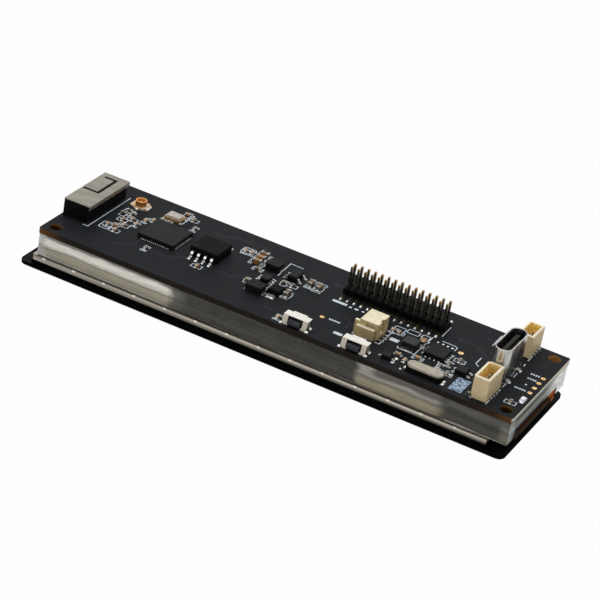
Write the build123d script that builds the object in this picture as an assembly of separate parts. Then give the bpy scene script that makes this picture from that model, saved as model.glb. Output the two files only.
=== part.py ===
from build123d import *
import math
import os

# A long narrow touch screen module with its controller board on the back, lying screen down.
# Millimetres. +X runs along the board towards the upright USB socket, -Y is the edge with the
# two side buttons, +Z points away from the table. The origin is the middle of the cover
# glass's outer face. Places on the board are shares of its length and width from its middle.

# Screen stack, from the table upward
cover_thickness = 0.7
cover_corner = 1.3
cover_left_overhang = 2.8
cover_right_overhang = 0.0
cover_side_overhang = 0.65
cover_edge_chamfer = 0.12
bond_thickness = 0.1
bond_inset = 0.9
front_pane_thickness = 0.3
rear_pane_thickness = 0.35
cell_left_inset = 2.1
cell_side_inset = 0.6
cell_right_inset = 1.25
ledge_length = 2.1
bezel_height = 1.0
bezel_sheet = 0.15
bezel_left_inset = 2.3
bezel_side_inset = 0.5
bezel_lug_pitch = 6.0
bezel_lug_start = 2.3
bezel_lug_size = 0.7
bezel_lug_proud = 0.12
light_guide_thickness = 0.6
lamp_strip_depth = 1.4
lamp_strip_margin = 2.0
screen_lamp_length = 2.0
screen_lamp_depth = 1.0
screen_lamp_count = 6
inner_clearance = 0.1
tape_thickness = 0.15
tape_width = 1.6

# Clear spacer between the screen and the board
spacer_height = 4.1
spacer_inset = 0.1
spacer_side_wall = 1.6
spacer_end_wall = 2.7
spacer_corner = 0.3
spacer_boss = 4.4
spacer_boss_corner = 1.0
flex_window_height = 1.4
flex_window_clearance = 0.3

# Controller board
board_length = 88.8
board_width = 24.6
board_thickness = 1.0
board_corner = 0.3
hole_diameter = 2.2
hole_inset = 2.05

# Flexible tail of the screen
flex_side_room = 4.15
flex_thickness = 0.12
flex_bond_length = 0.8
flex_fold_inset = 0.14
flex_fold_top = 3.75
flex_fold_radius = 0.85
flex_level_run = 5.0
flex_connector_along = 0.36
flex_connector_side = 0.4
flex_connector_depth = 3.4
flex_connector_height = 1.0
flex_mouth_depth = 2.0

# Antenna
antenna_place = (-0.4685, 0.051)
antenna_depth = 5.0
antenna_length = 13.3
antenna_height = 3.1
antenna_sheet = 0.12
antenna_fold = 0.65
antenna_recess = 0.3
antenna_slot = 0.6
antenna_edge_radius = 0.35

# Chips: length along X, width along Y
processor_place = (-0.303, 0.016)
processor_size = 7.0
processor_height = 0.85
processor_side_lead_count = 14
processor_pitch = 0.4
flash_place = (-0.203, 0.022)
flash_body = 5.25
flash_height = 1.75
flash_span = 7.9
flash_pitch = 1.27
flash_side_lead_count = 4
charger_place = (0.299, -0.101)
charger_size = 3.6
charger_height = 0.8
charger_side_lead_count = 4
charger_pitch = 0.8
charger_lead_width = 0.35
charger_lead_reach = 0.3
charger_lead_height = 0.15
standoff = 0.08
lead_sheet = 0.2
rectifier_place = (-0.036, -0.130)
rectifier_length = 2.1
rectifier_width = 2.3
rectifier_height = 1.0
rectifier_lead_pitch = 0.8
rectifier_tab = 0.18
rectifier_tab_width = 1.4
rectifier_tab_reach = 1.15
regulator_place = (-0.034, 0.138)
regulator_length = 1.7
regulator_width = 2.9
regulator_height = 1.1
regulator_pitch = 0.95
load_switch_place = (-0.073, -0.024)
load_switch_length = 1.7
load_switch_width = 2.2
load_switch_height = 0.75
load_switch_corner = 0.6
diode_place = (0.232, -0.378)
diode_size = 1.5
diode_height = 0.8
protector_place = (0.362, -0.203)
protector_length = 1.9
protector_width = 2.0
protector_height = 0.85
small_lead_reach = 0.4
small_lead_width = 0.35
small_lead_height = 0.18

# Power inductors
power_inductor_place = (-0.083, 0.165)
power_inductor_length = 2.7
power_inductor_width = 2.6
power_inductor_height = 1.2
power_inductor_corner = 0.5
boost_inductor_place = (-0.069, -0.213)
boost_inductor_length = 3.0
boost_inductor_width = 2.1
boost_inductor_height = 1.4
boost_inductor_corner = 0.25
boost_inductor_well = 0.7
charge_inductor_place = (0.248, -0.134)
charge_inductor_length = 2.6
charge_inductor_width = 2.4
charge_inductor_height = 1.2
charge_inductor_corner = 0.3
charge_foot_reach = 0.45
inductor_end_sheet = 0.12

# Coax socket, crystals and lamp
coax_place = (-0.402, 0.280)
coax_size = 2.6
coax_base_height = 0.35
coax_ring_diameter = 2.0
coax_ring_wall = 0.2
coax_height = 1.25
coax_foot = 0.45
crystal_place = (-0.326, 0.291)
crystal_length = 3.2
crystal_width = 2.5
crystal_height = 0.8
crystal_base_height = 0.45
clock_place = (0.312, -0.402)
clock_length = 6.5
clock_width = 2.2
clock_height = 1.3
clock_base_height = 0.88
lamp_place = (0.489, -0.244)
lamp_length = 0.8
lamp_width = 1.6
lamp_height = 0.6

# Pin header
header_place = (0.169, 0.235)
header_column_count = 15
header_pitch = 1.27
header_base_width = 2.55
header_base_height = 1.0
header_lift = 0.15
header_pin = 0.4
header_pin_height = 5.25
header_foot_reach = 2.1
header_pin_clearance = 0.01

# Side buttons
button_along = {"left": 0.051, "right": 0.173}
button_edge_gap = 1.2
button_length = 4.5
button_depth = 1.9
button_height = 1.65
button_sheet = 0.12
button_ear = 1.0
button_ear_setback = 0.35
button_leg_width = 0.9
button_leg_flare = 0.2
button_leg_lean = 0.5
plunger_width = 2.2
plunger_height = 0.8
plunger_lift = 0.3
plunger_reach = 0.9
plunger_travel = 0.2
plunger_clearance = 0.1
plunger_tail = 0.7

# Battery socket, side entry
battery_place = (0.166, -0.150)
battery_width = 4.25
battery_depth = 4.3
battery_height = 2.95
battery_wall = 0.4
battery_floor = 1.95
battery_opening = 0.42
battery_front_step = 0.65
battery_step_inset = 0.6
battery_left_strip = 0.9
battery_ear_depth = 0.55
battery_ear_drop = 0.45
battery_side_recess = 0.3
battery_pin_count = 2
battery_side_tails = (-1.45, -0.45, 0.55)
battery_tail_reach = 1.0

# Upright sockets at the right end
socket_end_inset = 6.9
socket_depth = 2.85
socket_height = 4.0
socket_wall = 0.42
socket_floor = 0.9
socket_pitch = 1.0
socket_end_length = 1.5
socket_corner = 0.45
front_socket_pin_count = 4
back_socket_pin_count = 3
front_socket_gap = 0.4
back_socket_edge_gap = 0.06
socket_pin = 0.3
socket_pin_height = 3.0

# Upright USB socket
usb_width = 8.9
usb_depth = 3.1
usb_height = 6.4
usb_sheet = 0.25
usb_tongue_width = 6.7
usb_tongue = 0.7
usb_tongue_recess = 0.6
usb_insert_height = 1.6
usb_contact_pitch = 0.5
usb_contact_count = 12
usb_contact_width = 0.25
usb_contact_sheet = 0.04

# Chip capacitors and resistors with end caps, in two sizes
small_part_length = 1.0
small_part_width = 0.5
small_part_height = 0.35
small_part_cap = 0.25
medium_part_length = 1.6
medium_part_width = 0.85
medium_part_height = 0.8
medium_part_cap = 0.35
part_cap_proud = 0.02


def beside(place, along, across):
    """A place a few millimetres from another one."""
    return place[0] + along / board_length, place[1] + across / board_width


# Their places, and whether the part lies along Y
medium_parts = [
    ((-0.119, 0.264), False), ((-0.119, 0.201), False), ((-0.118, 0.138), False), ((0.001, 0.130), True),
    ((0.020, 0.122), True), ((-0.015, -0.114), True),
    (beside(charge_inductor_place, 1.15, 2.2), True)]
small_parts = [
    ((-0.410, -0.122), True), ((-0.396, -0.098), False), ((-0.388, -0.165), True), ((-0.399, 0.012), True),
    ((-0.385, -0.057), True), ((-0.411, 0.100), False), ((-0.397, 0.122), True), ((-0.407, 0.160), False),
    ((-0.385, 0.060), True), ((-0.369, 0.012), True), ((-0.363, 0.114), True), ((-0.352, 0.150), True),
    ((-0.275, 0.252), True), ((-0.306, -0.236), True), ((-0.198, -0.203), True), ((-0.157, 0.228), True),
    ((-0.144, 0.236), True), (beside(processor_place, -3.46, 4.43), True),
    (beside(processor_place, -2.13, 4.43), True), ((-0.314, 0.404), False),
    ((-0.295, 0.365), True), ((-0.040, 0.022), False), ((-0.024, 0.024), True), ((-0.098, -0.122), False),
    ((-0.105, 0.065), False), ((0.331, -0.165), True), ((0.342, -0.290), True), ((0.321, -0.235), True),
    ((0.342, -0.075), True), ((0.011, -0.423), True), ((0.262, -0.335), True), ((0.243, -0.290), False),
    ((0.473, -0.320), True), ((0.277, -0.240), False), ((0.198, -0.022), True), ((0.210, -0.026), True)]

# Worked out from the sizes above
cover_length = board_length + cover_left_overhang + cover_right_overhang
cover_width = board_width + 2 * cover_side_overhang
board_middle = (cover_left_overhang - cover_right_overhang) / 2
cover_left = -cover_length / 2
cover_right = cover_length / 2
front_pane_bottom = cover_thickness + bond_thickness
rear_pane_bottom = front_pane_bottom + front_pane_thickness
bezel_bottom = rear_pane_bottom + rear_pane_thickness
bezel_top = bezel_bottom + bezel_height
spacer_bottom = bezel_top + tape_thickness
board_bottom = spacer_bottom + spacer_height
board_top = board_bottom + board_thickness
board_right = board_middle + board_length / 2
cell_left = cover_left + cell_left_inset
cell_right = cover_right - cell_right_inset
cell_width = cover_width - 2 * cell_side_inset
bezel_left = cover_left + bezel_left_inset
bezel_right = cell_right - ledge_length
bezel_width = cover_width - 2 * bezel_side_inset
flex_width = board_width - 2 * flex_side_room
flex_connector_length = flex_width + 2 * flex_connector_side


def slab(x0, x1, y0, y1, z0, z1):
    """A block between two corners."""
    return Pos((x0 + x1) / 2, (y0 + y1) / 2, (z0 + z1) / 2) * Box(x1 - x0, y1 - y0, z1 - z0)


def plate(x0, x1, width, z0, z1, radius):
    """A flat plate with rounded corners, centred across the board."""
    outline = Pos((x0 + x1) / 2, 0, z0) * RectangleRounded(x1 - x0, width, radius)
    return extrude(outline, z1 - z0)


def spot(place, lift=0.0):
    """The point above a place on the board, given in shares of its length and width."""
    return Pos(board_middle + place[0] * board_length, place[1] * board_width, board_top + lift)


def group(pieces):
    return Compound(children=list(pieces))


def save(name, shape):
    export_step(shape, os.path.join("parts", name + ".step"))


def cover_glass():
    glass = plate(cover_left, cover_right, cover_width, 0, cover_thickness, cover_corner)
    return chamfer(glass.edges().group_by(Axis.Z)[0], cover_edge_chamfer)


def optical_adhesive():
    x1 = cell_right - ledge_length - bond_inset
    return plate(cell_left + bond_inset, x1, cell_width - 2 * bond_inset,
                 cover_thickness, front_pane_bottom, cover_corner / 2)


def lcd_cell():
    """Two bonded panes; the rear one runs on past the front one as the driver's ledge."""
    half = cell_width / 2
    front = slab(cell_left, cell_right - ledge_length, -half, half, front_pane_bottom, rear_pane_bottom)
    rear = slab(cell_left, cell_right, -half, half, rear_pane_bottom, bezel_bottom)
    return front + rear


def display_driver_chip():
    x0 = cell_right - ledge_length + 0.25
    x1 = cell_right - flex_bond_length - 0.2
    half = flex_width / 2 - 1
    return slab(x0, x1, -half, half, rear_pane_bottom - 0.25, rear_pane_bottom)


def backlight_bezel():
    """A shallow steel tray, open towards the screen, with small lugs along both top edges."""
    tray = plate(bezel_left, bezel_right, bezel_width, bezel_bottom, bezel_top, 0.3)
    hollow = slab(bezel_left + bezel_sheet, bezel_right - bezel_sheet, -bezel_width / 2 + bezel_sheet,
                  bezel_width / 2 - bezel_sheet, bezel_bottom, bezel_top - bezel_sheet)
    tray = tray - hollow
    lug_height = bezel_height / 3
    first = bezel_left + bezel_lug_start
    count = int((bezel_right - bezel_lug_start - first) // bezel_lug_pitch) + 1
    lug = Box(bezel_lug_size, bezel_lug_proud * 2, lug_height)
    lug = chamfer(lug.edges().filter_by(Axis.Z), bezel_lug_proud * 0.9)
    for side in (-1, 1):
        for i in range(count):
            place = Pos(first + i * bezel_lug_pitch, side * bezel_width / 2, bezel_top - lug_height / 2)
            tray = tray + place * lug
    return tray


def light_guide():
    edge = bezel_sheet + inner_clearance
    room = lamp_strip_depth + 2 * inner_clearance
    return slab(bezel_left + edge, bezel_right - edge - room, -bezel_width / 2 + edge, bezel_width / 2 - edge,
                bezel_bottom, bezel_bottom + light_guide_thickness)


def backlight_led_strip():
    """A narrow flexible strip carrying the lamps that shine into the light guide's end."""
    x1 = bezel_right - bezel_sheet - inner_clearance
    half = bezel_width / 2 - lamp_strip_margin
    strip = slab(x1 - lamp_strip_depth, x1, -half, half, bezel_bottom + light_guide_thickness,
                 bezel_bottom + light_guide_thickness + flex_thickness)
    pieces = [strip]
    lamp_x = x1 - lamp_strip_depth + inner_clearance
    for i in range(screen_lamp_count):
        y = -half + (i + 0.5) * 2 * half / screen_lamp_count
        pieces.append(slab(lamp_x, lamp_x + screen_lamp_depth, y - screen_lamp_length / 2,
                           y + screen_lamp_length / 2, bezel_bottom + 0.05,
                           bezel_bottom + light_guide_thickness))
    return group(pieces)


def display_flex():
    """The tail: bonded under the ledge, folded up and back through the spacer's window to its connector."""
    low = rear_pane_bottom - flex_thickness / 2
    high = flex_fold_top - flex_thickness / 2
    fold_x = cover_right - flex_fold_inset - flex_thickness / 2
    mouth_z = board_bottom - flex_connector_height / 2
    mouth_x = board_middle + flex_connector_along * board_length + flex_connector_depth / 2 - flex_mouth_depth
    climb_x = mouth_x + flex_mouth_depth + 1.0
    run_x = board_right - flex_level_run
    side_view = FilletPolyline((cell_right - flex_bond_length, low), (fold_x, low), (fold_x, high),
                               (run_x, high), (climb_x, mouth_z), (mouth_x, mouth_z),
                               radius=flex_fold_radius)
    return extrude(Plane.XZ * trace(side_view, flex_thickness), flex_width / 2, both=True)


def flex_connector():
    """Slot connector under the board that takes the tail's end; its mouth faces +X."""
    x = board_middle + flex_connector_along * board_length
    half = flex_connector_length / 2
    body = slab(x - flex_connector_depth / 2, x + flex_connector_depth / 2, -half, half,
                board_bottom - flex_connector_height, board_bottom)
    middle = board_bottom - flex_connector_height / 2
    gap = flex_thickness / 2 + 0.03
    slot_half = flex_width / 2 + 0.1
    slot = slab(x + flex_connector_depth / 2 - flex_mouth_depth - 0.05, x + flex_connector_depth,
                -slot_half, slot_half, middle - gap, middle + gap)
    lead_in = slab(x + flex_connector_depth / 2 - 0.4, x + flex_connector_depth, -slot_half, slot_half,
                   board_bottom - flex_connector_height, middle)
    return body - slot - lead_in


def spacer_frame():
    """A clear moulded frame with thick corners, bored for the screws, with a window for the tail."""
    left = board_middle - board_length / 2 + spacer_inset
    right = board_right - spacer_inset
    width = board_width - 2 * spacer_inset
    frame = plate(left, right, width, spacer_bottom, board_bottom, spacer_corner)
    hollow = slab(left + spacer_end_wall, right - spacer_end_wall, -width / 2 + spacer_side_wall,
                  width / 2 - spacer_side_wall, spacer_bottom, board_bottom)
    frame = frame - hollow
    inner = []
    for x_end, inward in ((left, 1), (right, -1)):
        for side in (-1, 1):
            x = x_end + inward * spacer_boss / 2
            y = side * (width - spacer_boss) / 2
            boss = Pos(x, y, (spacer_bottom + board_bottom) / 2) * Box(spacer_boss, spacer_boss, spacer_height)
            inner.append(fillet(boss.edges().filter_by(Axis.Z), spacer_boss_corner))
    frame = frame + inner
    frame = frame - screw_holes(spacer_bottom, board_bottom)
    half = flex_width / 2 + flex_window_clearance
    window = slab(right - spacer_boss * 1.5, right + 1, -half, half,
                  spacer_bottom, spacer_bottom + flex_window_height)
    return frame - window


def screw_holes(z0, z1):
    """Cylinders at the board's four corner holes."""
    spacing_x = board_length - 2 * hole_inset
    spacing_y = board_width - 2 * hole_inset
    bore = Cylinder(hole_diameter / 2, z1 - z0)
    return [Pos(board_middle + sx * spacing_x / 2, sy * spacing_y / 2, (z0 + z1) / 2) * bore
            for sx in (-1, 1) for sy in (-1, 1)]


def spacer_tape():
    """Black double-sided tape under the spacer's rim, left open where the tail passes."""
    left = max(board_middle - board_length / 2 + spacer_inset, bezel_left) + 0.15
    right = bezel_right - 0.1
    width = board_width - 2 * spacer_inset - 0.3
    ring = plate(left, right, width, bezel_top, spacer_bottom, spacer_corner / 2)
    hollow = slab(left + tape_width, right + 1, -width / 2 + tape_width, width / 2 - tape_width,
                  bezel_top, spacer_bottom)
    return ring - hollow


def main_board():
    half = board_length / 2
    board = plate(board_middle - half, board_middle + half, board_width, board_bottom, board_top, board_corner)
    return board - screw_holes(board_bottom, board_top)


def antenna_box():
    """Left, right, front and back limits of the antenna's plastic carrier."""
    x = board_middle + antenna_place[0] * board_length
    y = antenna_place[1] * board_width
    return x - antenna_depth / 2, x + antenna_depth / 2, y - antenna_length / 2, y + antenna_length / 2


def antenna_carrier():
    x0, x1, y0, y1 = antenna_box()
    top = board_top + antenna_height
    body = slab(x0, x1 - antenna_recess, y0, y1, board_top, top)
    body = fillet(body.edges().filter_by(Axis.Z), antenna_edge_radius / 2)
    shelf = slab(x1 - antenna_recess, x1, y0 + 1, y1 - 1, top - antenna_fold / 2, top)
    return body + shelf


def antenna_plate():
    """Bent sheet on the carrier, folded down along +X, with the radiating slot cut through it."""
    x0, x1, y0, y1 = antenna_box()
    top = board_top + antenna_height
    right = x1 + antenna_sheet
    profile = Polyline((x0, top), (x0, top + antenna_sheet), (right, top + antenna_sheet),
                       (right, top - antenna_fold), (x1, top - antenna_fold), (x1, top), close=True)
    sheet = extrude(Plane.XZ * make_face(profile), -(y1 - y0))
    sheet = Pos(0, y0, 0) * sheet
    rim = [e for e in sheet.edges().filter_by(Axis.Y) if e.center().X > right - 0.01 and e.center().Z > top]
    sheet = fillet(rim, antenna_sheet * 0.9)
    slot_x = x0 + (x1 - x0) * 0.58
    slot_y0 = y0 + antenna_length * 0.43
    slot_y1 = y0 + antenna_length * 0.88
    w = antenna_slot
    cuts = [slab(x0 - 1, slot_x + w, slot_y0 - w / 2, slot_y0 + w / 2, top, top + 1),
            slab(slot_x, slot_x + w, slot_y0, slot_y1, top, top + 1),
            slab(x0 + antenna_depth * 0.18, slot_x + w, slot_y1 - w / 2, slot_y1 + w / 2, top, top + 1)]
    return sheet - cuts


def chip_body(place, size_x, size_y, height, lift, top_chamfer=0.08):
    """A moulded chip body with its top edges broken."""
    body = spot(place, lift + (height - lift) / 2) * Box(size_x, size_y, height - lift)
    return chamfer(body.edges().group_by(Axis.Z)[-1], top_chamfer)


def flat_leads(place, size, count, pitch, width=0.2, reach=0.12, height=0.2):
    """The short soldered leads round the foot of a square leadless chip."""
    pads = []
    for i in range(count):
        along = (i - (count - 1) / 2) * pitch
        for side in (-1, 1):
            out = side * (size / 2 + reach / 2)
            pads.append(spot(place, height / 2) * Pos(along, out, 0) * Box(width, reach, height))
            pads.append(spot(place, height / 2) * Pos(out, along, 0) * Box(reach, width, height))
    return group(pads)


def gull_lead(body_edge, tip, height, width):
    """A gull-wing lead in the YZ plane, running out towards -Y from the body's side."""
    knee = body_edge + (tip - body_edge) * 0.35
    heel = body_edge + (tip - body_edge) * 0.6
    half = lead_sheet / 2
    line = Polyline((body_edge, height), (knee + half, height), (knee, height - half), (heel, lead_sheet),
                    (heel - half, half), (tip, half))
    return extrude(Plane.YZ * trace(line, lead_sheet), width / 2, both=True)


def flash_chip():
    return chip_body(flash_place, flash_body, flash_body, flash_height, standoff, 0.15)


def flash_leads():
    lead = gull_lead(-flash_body / 2, -flash_span / 2, flash_height * 0.5, 0.42)
    leads = []
    for i in range(flash_side_lead_count):
        step = Pos((i - (flash_side_lead_count - 1) / 2) * flash_pitch, 0, 0)
        for turn in (0, 180):
            leads.append(spot(flash_place) * step * Rot(0, 0, turn) * lead)
    return group(leads)


def coax_base():
    base = spot(coax_place, coax_base_height / 2) * Box(coax_size, coax_size, coax_base_height)
    return chamfer(base.edges().filter_by(Axis.Z), coax_size * 0.12)


def coax_contacts():
    """The grooved ring with its centre pin, and the three soldered feet."""
    ring_height = coax_height - coax_base_height
    radius = coax_ring_diameter / 2
    ring = Cylinder(radius, ring_height) - Cylinder(radius - coax_ring_wall, ring_height * 2)
    groove = Cylinder(radius * 2, ring_height * 0.25) - Cylinder(radius - coax_ring_wall * 0.4, ring_height)
    pin_height = ring_height * 0.6
    pin = Cylinder(radius * 0.22, pin_height)
    pieces = [spot(coax_place, coax_base_height + ring_height / 2) * (ring - groove),
              spot(coax_place, coax_base_height + pin_height / 2) * pin]
    foot_height = coax_base_height * 0.7
    out = (coax_size + coax_foot) / 2
    for side in (-1, 1):
        foot = Box(coax_foot, coax_size * 0.72, foot_height)
        pieces.append(spot(coax_place, foot_height / 2) * Pos(side * out, 0, 0) * foot)
    front_foot = Box(coax_size * 0.3, coax_foot, foot_height)
    pieces.append(spot(coax_place, foot_height / 2) * Pos(0, -out, 0) * front_foot)
    return group(pieces)


def crystal_base():
    base = Box(crystal_length, crystal_width, crystal_base_height)
    base = chamfer(base.edges().filter_by(Axis.Z), 0.2)
    return spot(crystal_place, crystal_base_height / 2) * base


def crystal_lid():
    """A thin seam-welded lid: a rim flange and a slightly raised top."""
    where = spot(crystal_place, crystal_base_height)
    rise = crystal_height - crystal_base_height
    rim = extrude(where * RectangleRounded(crystal_length - 0.2, crystal_width - 0.2, 0.4), rise / 3)
    top = extrude(where * RectangleRounded(crystal_length - 0.6, crystal_width - 0.6, 0.35), rise)
    return rim + top


def rounded_body(place, length, width, height, corner):
    """A moulded body with rounded upright corners and a broken top edge."""
    body = extrude(spot(place, standoff) * RectangleRounded(length, width, corner), height - standoff)
    return chamfer(body.edges().group_by(Axis.Z)[-1], 0.1)


def power_inductor():
    return rounded_body(power_inductor_place, power_inductor_length, power_inductor_width,
                        power_inductor_height, power_inductor_corner)


def charge_inductor():
    return rounded_body(charge_inductor_place, charge_inductor_length, charge_inductor_width,
                        charge_inductor_height, charge_inductor_corner)


def boost_inductor():
    """A square inductor with two round wells in its top where the winding is welded."""
    body = rounded_body(boost_inductor_place, boost_inductor_length, boost_inductor_width,
                        boost_inductor_height, boost_inductor_corner)
    for side in (-1, 1):
        well = Pos(side * boost_inductor_length * 0.22, 0, 0) * Cylinder(boost_inductor_well / 2, 0.12)
        body = body - spot(boost_inductor_place, boost_inductor_height) * well
    return body


def load_switch_chip():
    return rounded_body(load_switch_place, load_switch_length, load_switch_width,
                        load_switch_height, load_switch_corner)


def end_plates(place, length, width, tall):
    """Two tinned plates on a body's -X and +X ends."""
    plate_box = Box(inductor_end_sheet, width * 0.6, tall)
    return [spot(place, tall / 2) * Pos(side * (length + inductor_end_sheet) / 2, 0, 0) * plate_box
            for side in (-1, 1)]


def inductor_ends():
    """The tinned ends of the three power inductors; the charge inductor's are long feet along Y."""
    pieces = end_plates(power_inductor_place, power_inductor_length, power_inductor_width,
                        power_inductor_height * 0.3)
    pieces += end_plates(boost_inductor_place, boost_inductor_length, boost_inductor_width,
                         boost_inductor_height * 0.3)
    tall = charge_inductor_height * 0.3
    for side in (-1, 1):
        edge = side * charge_inductor_width / 2
        cap = Pos(0, edge + side * inductor_end_sheet / 2, tall / 2) * Box(charge_inductor_length * 0.75,
                                                                         inductor_end_sheet, tall)
        pieces.append(spot(charge_inductor_place) * cap)
    foot = Box(charge_inductor_length * 0.9, charge_foot_reach, inductor_end_sheet)
    foot_y = -charge_inductor_width / 2 - inductor_end_sheet - charge_foot_reach / 2
    pieces.append(spot(charge_inductor_place, inductor_end_sheet / 2) * Pos(0, foot_y, 0) * foot)
    return group(pieces)


def rectifier_body():
    return chip_body(rectifier_place, rectifier_length, rectifier_width, rectifier_height, standoff, 0.15)


def rectifier_tabs():
    """One wide tab towards -Y and three gull-wing leads towards -X."""
    tab_y = -rectifier_width / 2 - rectifier_tab_reach / 2
    tab = Pos(0, tab_y, rectifier_tab / 2) * Box(rectifier_tab_width, rectifier_tab_reach, rectifier_tab)
    pieces = [spot(rectifier_place) * tab]
    lead = gull_lead(-rectifier_length / 2, -rectifier_length / 2 - 0.55, rectifier_height * 0.5, 0.35)
    for i in (-1, 0, 1):
        step = Pos(0, (i + 0.25) * rectifier_lead_pitch, 0)
        pieces.append(spot(rectifier_place) * step * Rot(0, 0, -90) * lead)
    return group(pieces)


def regulator_chip():
    return chip_body(regulator_place, regulator_length, regulator_width, regulator_height, standoff, 0.15)


def regulator_leads():
    """Three gull-wing leads on one long side and two on the other."""
    lead = gull_lead(-regulator_length / 2, -regulator_length / 2 - 0.6, regulator_height * 0.5, 0.4)
    leads = []
    for i in (-1, 0, 1):
        leads.append(spot(regulator_place) * Pos(0, i * regulator_pitch, 0) * Rot(0, 0, -90) * lead)
    for i in (-1, 1):
        leads.append(spot(regulator_place) * Pos(0, i * regulator_pitch, 0) * Rot(0, 0, 90) * lead)
    return group(leads)


def small_chips():
    diode = chip_body(diode_place, diode_size, diode_size, diode_height, standoff, 0.1)
    protector = chip_body(protector_place, protector_length, protector_width, protector_height, standoff, 0.1)
    return group([diode, protector])


def side_feet(place, length, steps):
    """Short flat feet on a body's -X and +X sides, at the given places along Y."""
    foot = Box(small_lead_reach, small_lead_width, small_lead_height)
    return [spot(place, small_lead_height / 2) * Pos(side * (length + small_lead_reach) / 2, step, 0) * foot
            for side in (-1, 1) for step in steps]


def small_chip_leads():
    pieces = side_feet(diode_place, diode_size, [0])
    pieces += side_feet(protector_place, protector_length, [-protector_width * 0.3, protector_width * 0.3])
    third = load_switch_width / 3
    pieces += side_feet(load_switch_place, load_switch_length, [-third, 0, third])
    return group(pieces)


def chip_part_pieces(parts, length, width, height, cap):
    """The bodies and the end caps of a list of chip parts of one size."""
    bodies = []
    caps = []
    proud = part_cap_proud
    for place, along_y in parts:
        turn = Rot(0, 0, 90 if along_y else 0)
        bodies.append(spot(place, height / 2) * turn * Box(length - 2 * cap, width, height))
        for side in (-1, 1):
            cap_box = Pos(side * (length - cap) / 2, 0, 0) * Box(cap, width + 2 * proud, height + 2 * proud)
            caps.append(spot(place, height / 2 + proud) * turn * cap_box)
    return bodies, caps


def header_base():
    """A moulded strip with a square hole for each pin and a notch between neighbours."""
    length = header_column_count * header_pitch
    low = header_lift
    high = header_lift + header_base_height
    base = spot(header_place, (low + high) / 2) * Box(length, header_base_width, high - low)
    cuts = []
    side_of_hole = header_pin + 2 * header_pin_clearance
    hole = Box(side_of_hole, side_of_hole, header_base_height + 2)
    for x, y in header_grid():
        cuts.append(spot(header_place, (low + high) / 2) * Pos(x, y, 0) * hole)
    notch = Rot(0, 0, 45) * Box(0.4, 0.4, header_base_height + 2)
    for i in range(1, header_column_count):
        x = -length / 2 + i * header_pitch
        for side in (-1, 1):
            cuts.append(spot(header_place, (low + high) / 2) * Pos(x, side * header_base_width / 2, 0) * notch)
    return base - cuts


def header_grid():
    """The pins' places from the header's middle, front row first."""
    return [((i - (header_column_count - 1) / 2) * header_pitch, row * header_pitch / 2)
            for row in (-1, 1) for i in range(header_column_count)]


def header_pins():
    """Square pins bent out to a soldered foot at the board; front row to -Y, back row to +Y."""
    foot = header_lift - 0.02
    half = header_pin / 2
    reach = header_foot_reach + header_pitch
    profile = Polyline((half, foot), (half, header_pin_height), (-half, header_pin_height), (-half, foot),
                       (-reach + header_pitch / 2, foot), (-reach + header_pitch / 2, 0), (half, 0), close=True)
    pin = extrude(Plane.YZ * make_face(profile), half, both=True)
    pin = chamfer(pin.edges().group_by(Axis.Z)[-1], header_pin * 0.28)
    pins = []
    for x, y in header_grid():
        turn = Rot(0, 0, 0 if y < 0 else 180)
        pins.append(spot(header_place) * Pos(x, y, 0) * turn * pin)
    return group(pins)


def button_place(side, lift=0.0):
    """Middle of a side button's body, which stands back from the board's front edge."""
    x = board_middle + button_along[side] * board_length
    y = -board_width / 2 + button_edge_gap + button_depth / 2
    return Pos(x, y, board_top + lift)


def button_base(side):
    """The switch body under the cover, with the plunger's pocket open to the front."""
    length = button_length - 2 * button_sheet
    depth = button_depth - button_sheet
    height = button_height - button_sheet
    body = Pos(0, button_sheet / 2, height / 2) * Box(length, depth, height)
    gap = plunger_clearance
    pocket_width = plunger_width + 2 * gap
    tail = plunger_tail + plunger_travel + gap
    front = -button_depth / 2
    pocket = slab(-pocket_width / 2, pocket_width / 2, front, front + button_sheet + tail,
                  plunger_lift - gap, plunger_lift + plunger_height + gap)
    return button_place(side) * (body - pocket)


def button_cover(side):
    """The folded steel cover: a top plate with set-back ears and two leaning, flared front legs."""
    half = button_length / 2
    front = -button_depth / 2
    under = button_height - button_sheet
    back = button_depth / 2
    top = slab(-half, half, front, back - button_ear_setback, under, button_height)
    tongue = slab(-half + button_ear, half - button_ear, back - button_ear_setback, back, under, button_height)
    inner = half - button_leg_width
    foot = inner - button_leg_flare
    clear = plunger_lift - plunger_clearance
    inside = front + button_sheet
    side_view = Polyline((front, button_height), (inside, button_height), (inside, under),
                         (inside - button_leg_lean, 0), (front - button_leg_lean, 0), close=True)
    lean = extrude(Plane.YZ * make_face(side_view), half, both=True)
    pieces = [tongue]
    for sign in (-1, 1):
        face = Polyline((sign * half, button_height), (sign * inner, button_height),
                        (sign * inner, clear + 0.2), (sign * foot, clear), (sign * foot, 0),
                        (sign * half, 0), close=True)
        pieces.append(lean & extrude(Plane.XZ * make_face(face), button_depth * 2, both=True))
        peg = slab(half - button_sheet, half, front + 0.5, front + 1.2, 0, under)
        pieces.append(peg if sign > 0 else mirror(peg, Plane.YZ))
    return button_place(side) * (top + pieces)


def button_plunger(side):
    """The pressed piece: a rounded nose in front of the cover and a tail in the pocket."""
    front = -button_depth / 2
    z = plunger_lift + plunger_height / 2
    y0 = front - plunger_reach
    y1 = front + button_sheet + plunger_tail
    nose = slab(-plunger_width / 2, plunger_width / 2, y0, y1, plunger_lift, plunger_lift + plunger_height)
    rims = [e for e in nose.edges().filter_by(Axis.X) if e.center().Y < y0 + 0.01]
    nose = fillet(rims, min(0.25, plunger_height * 0.3))
    return button_place(side) * nose


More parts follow.
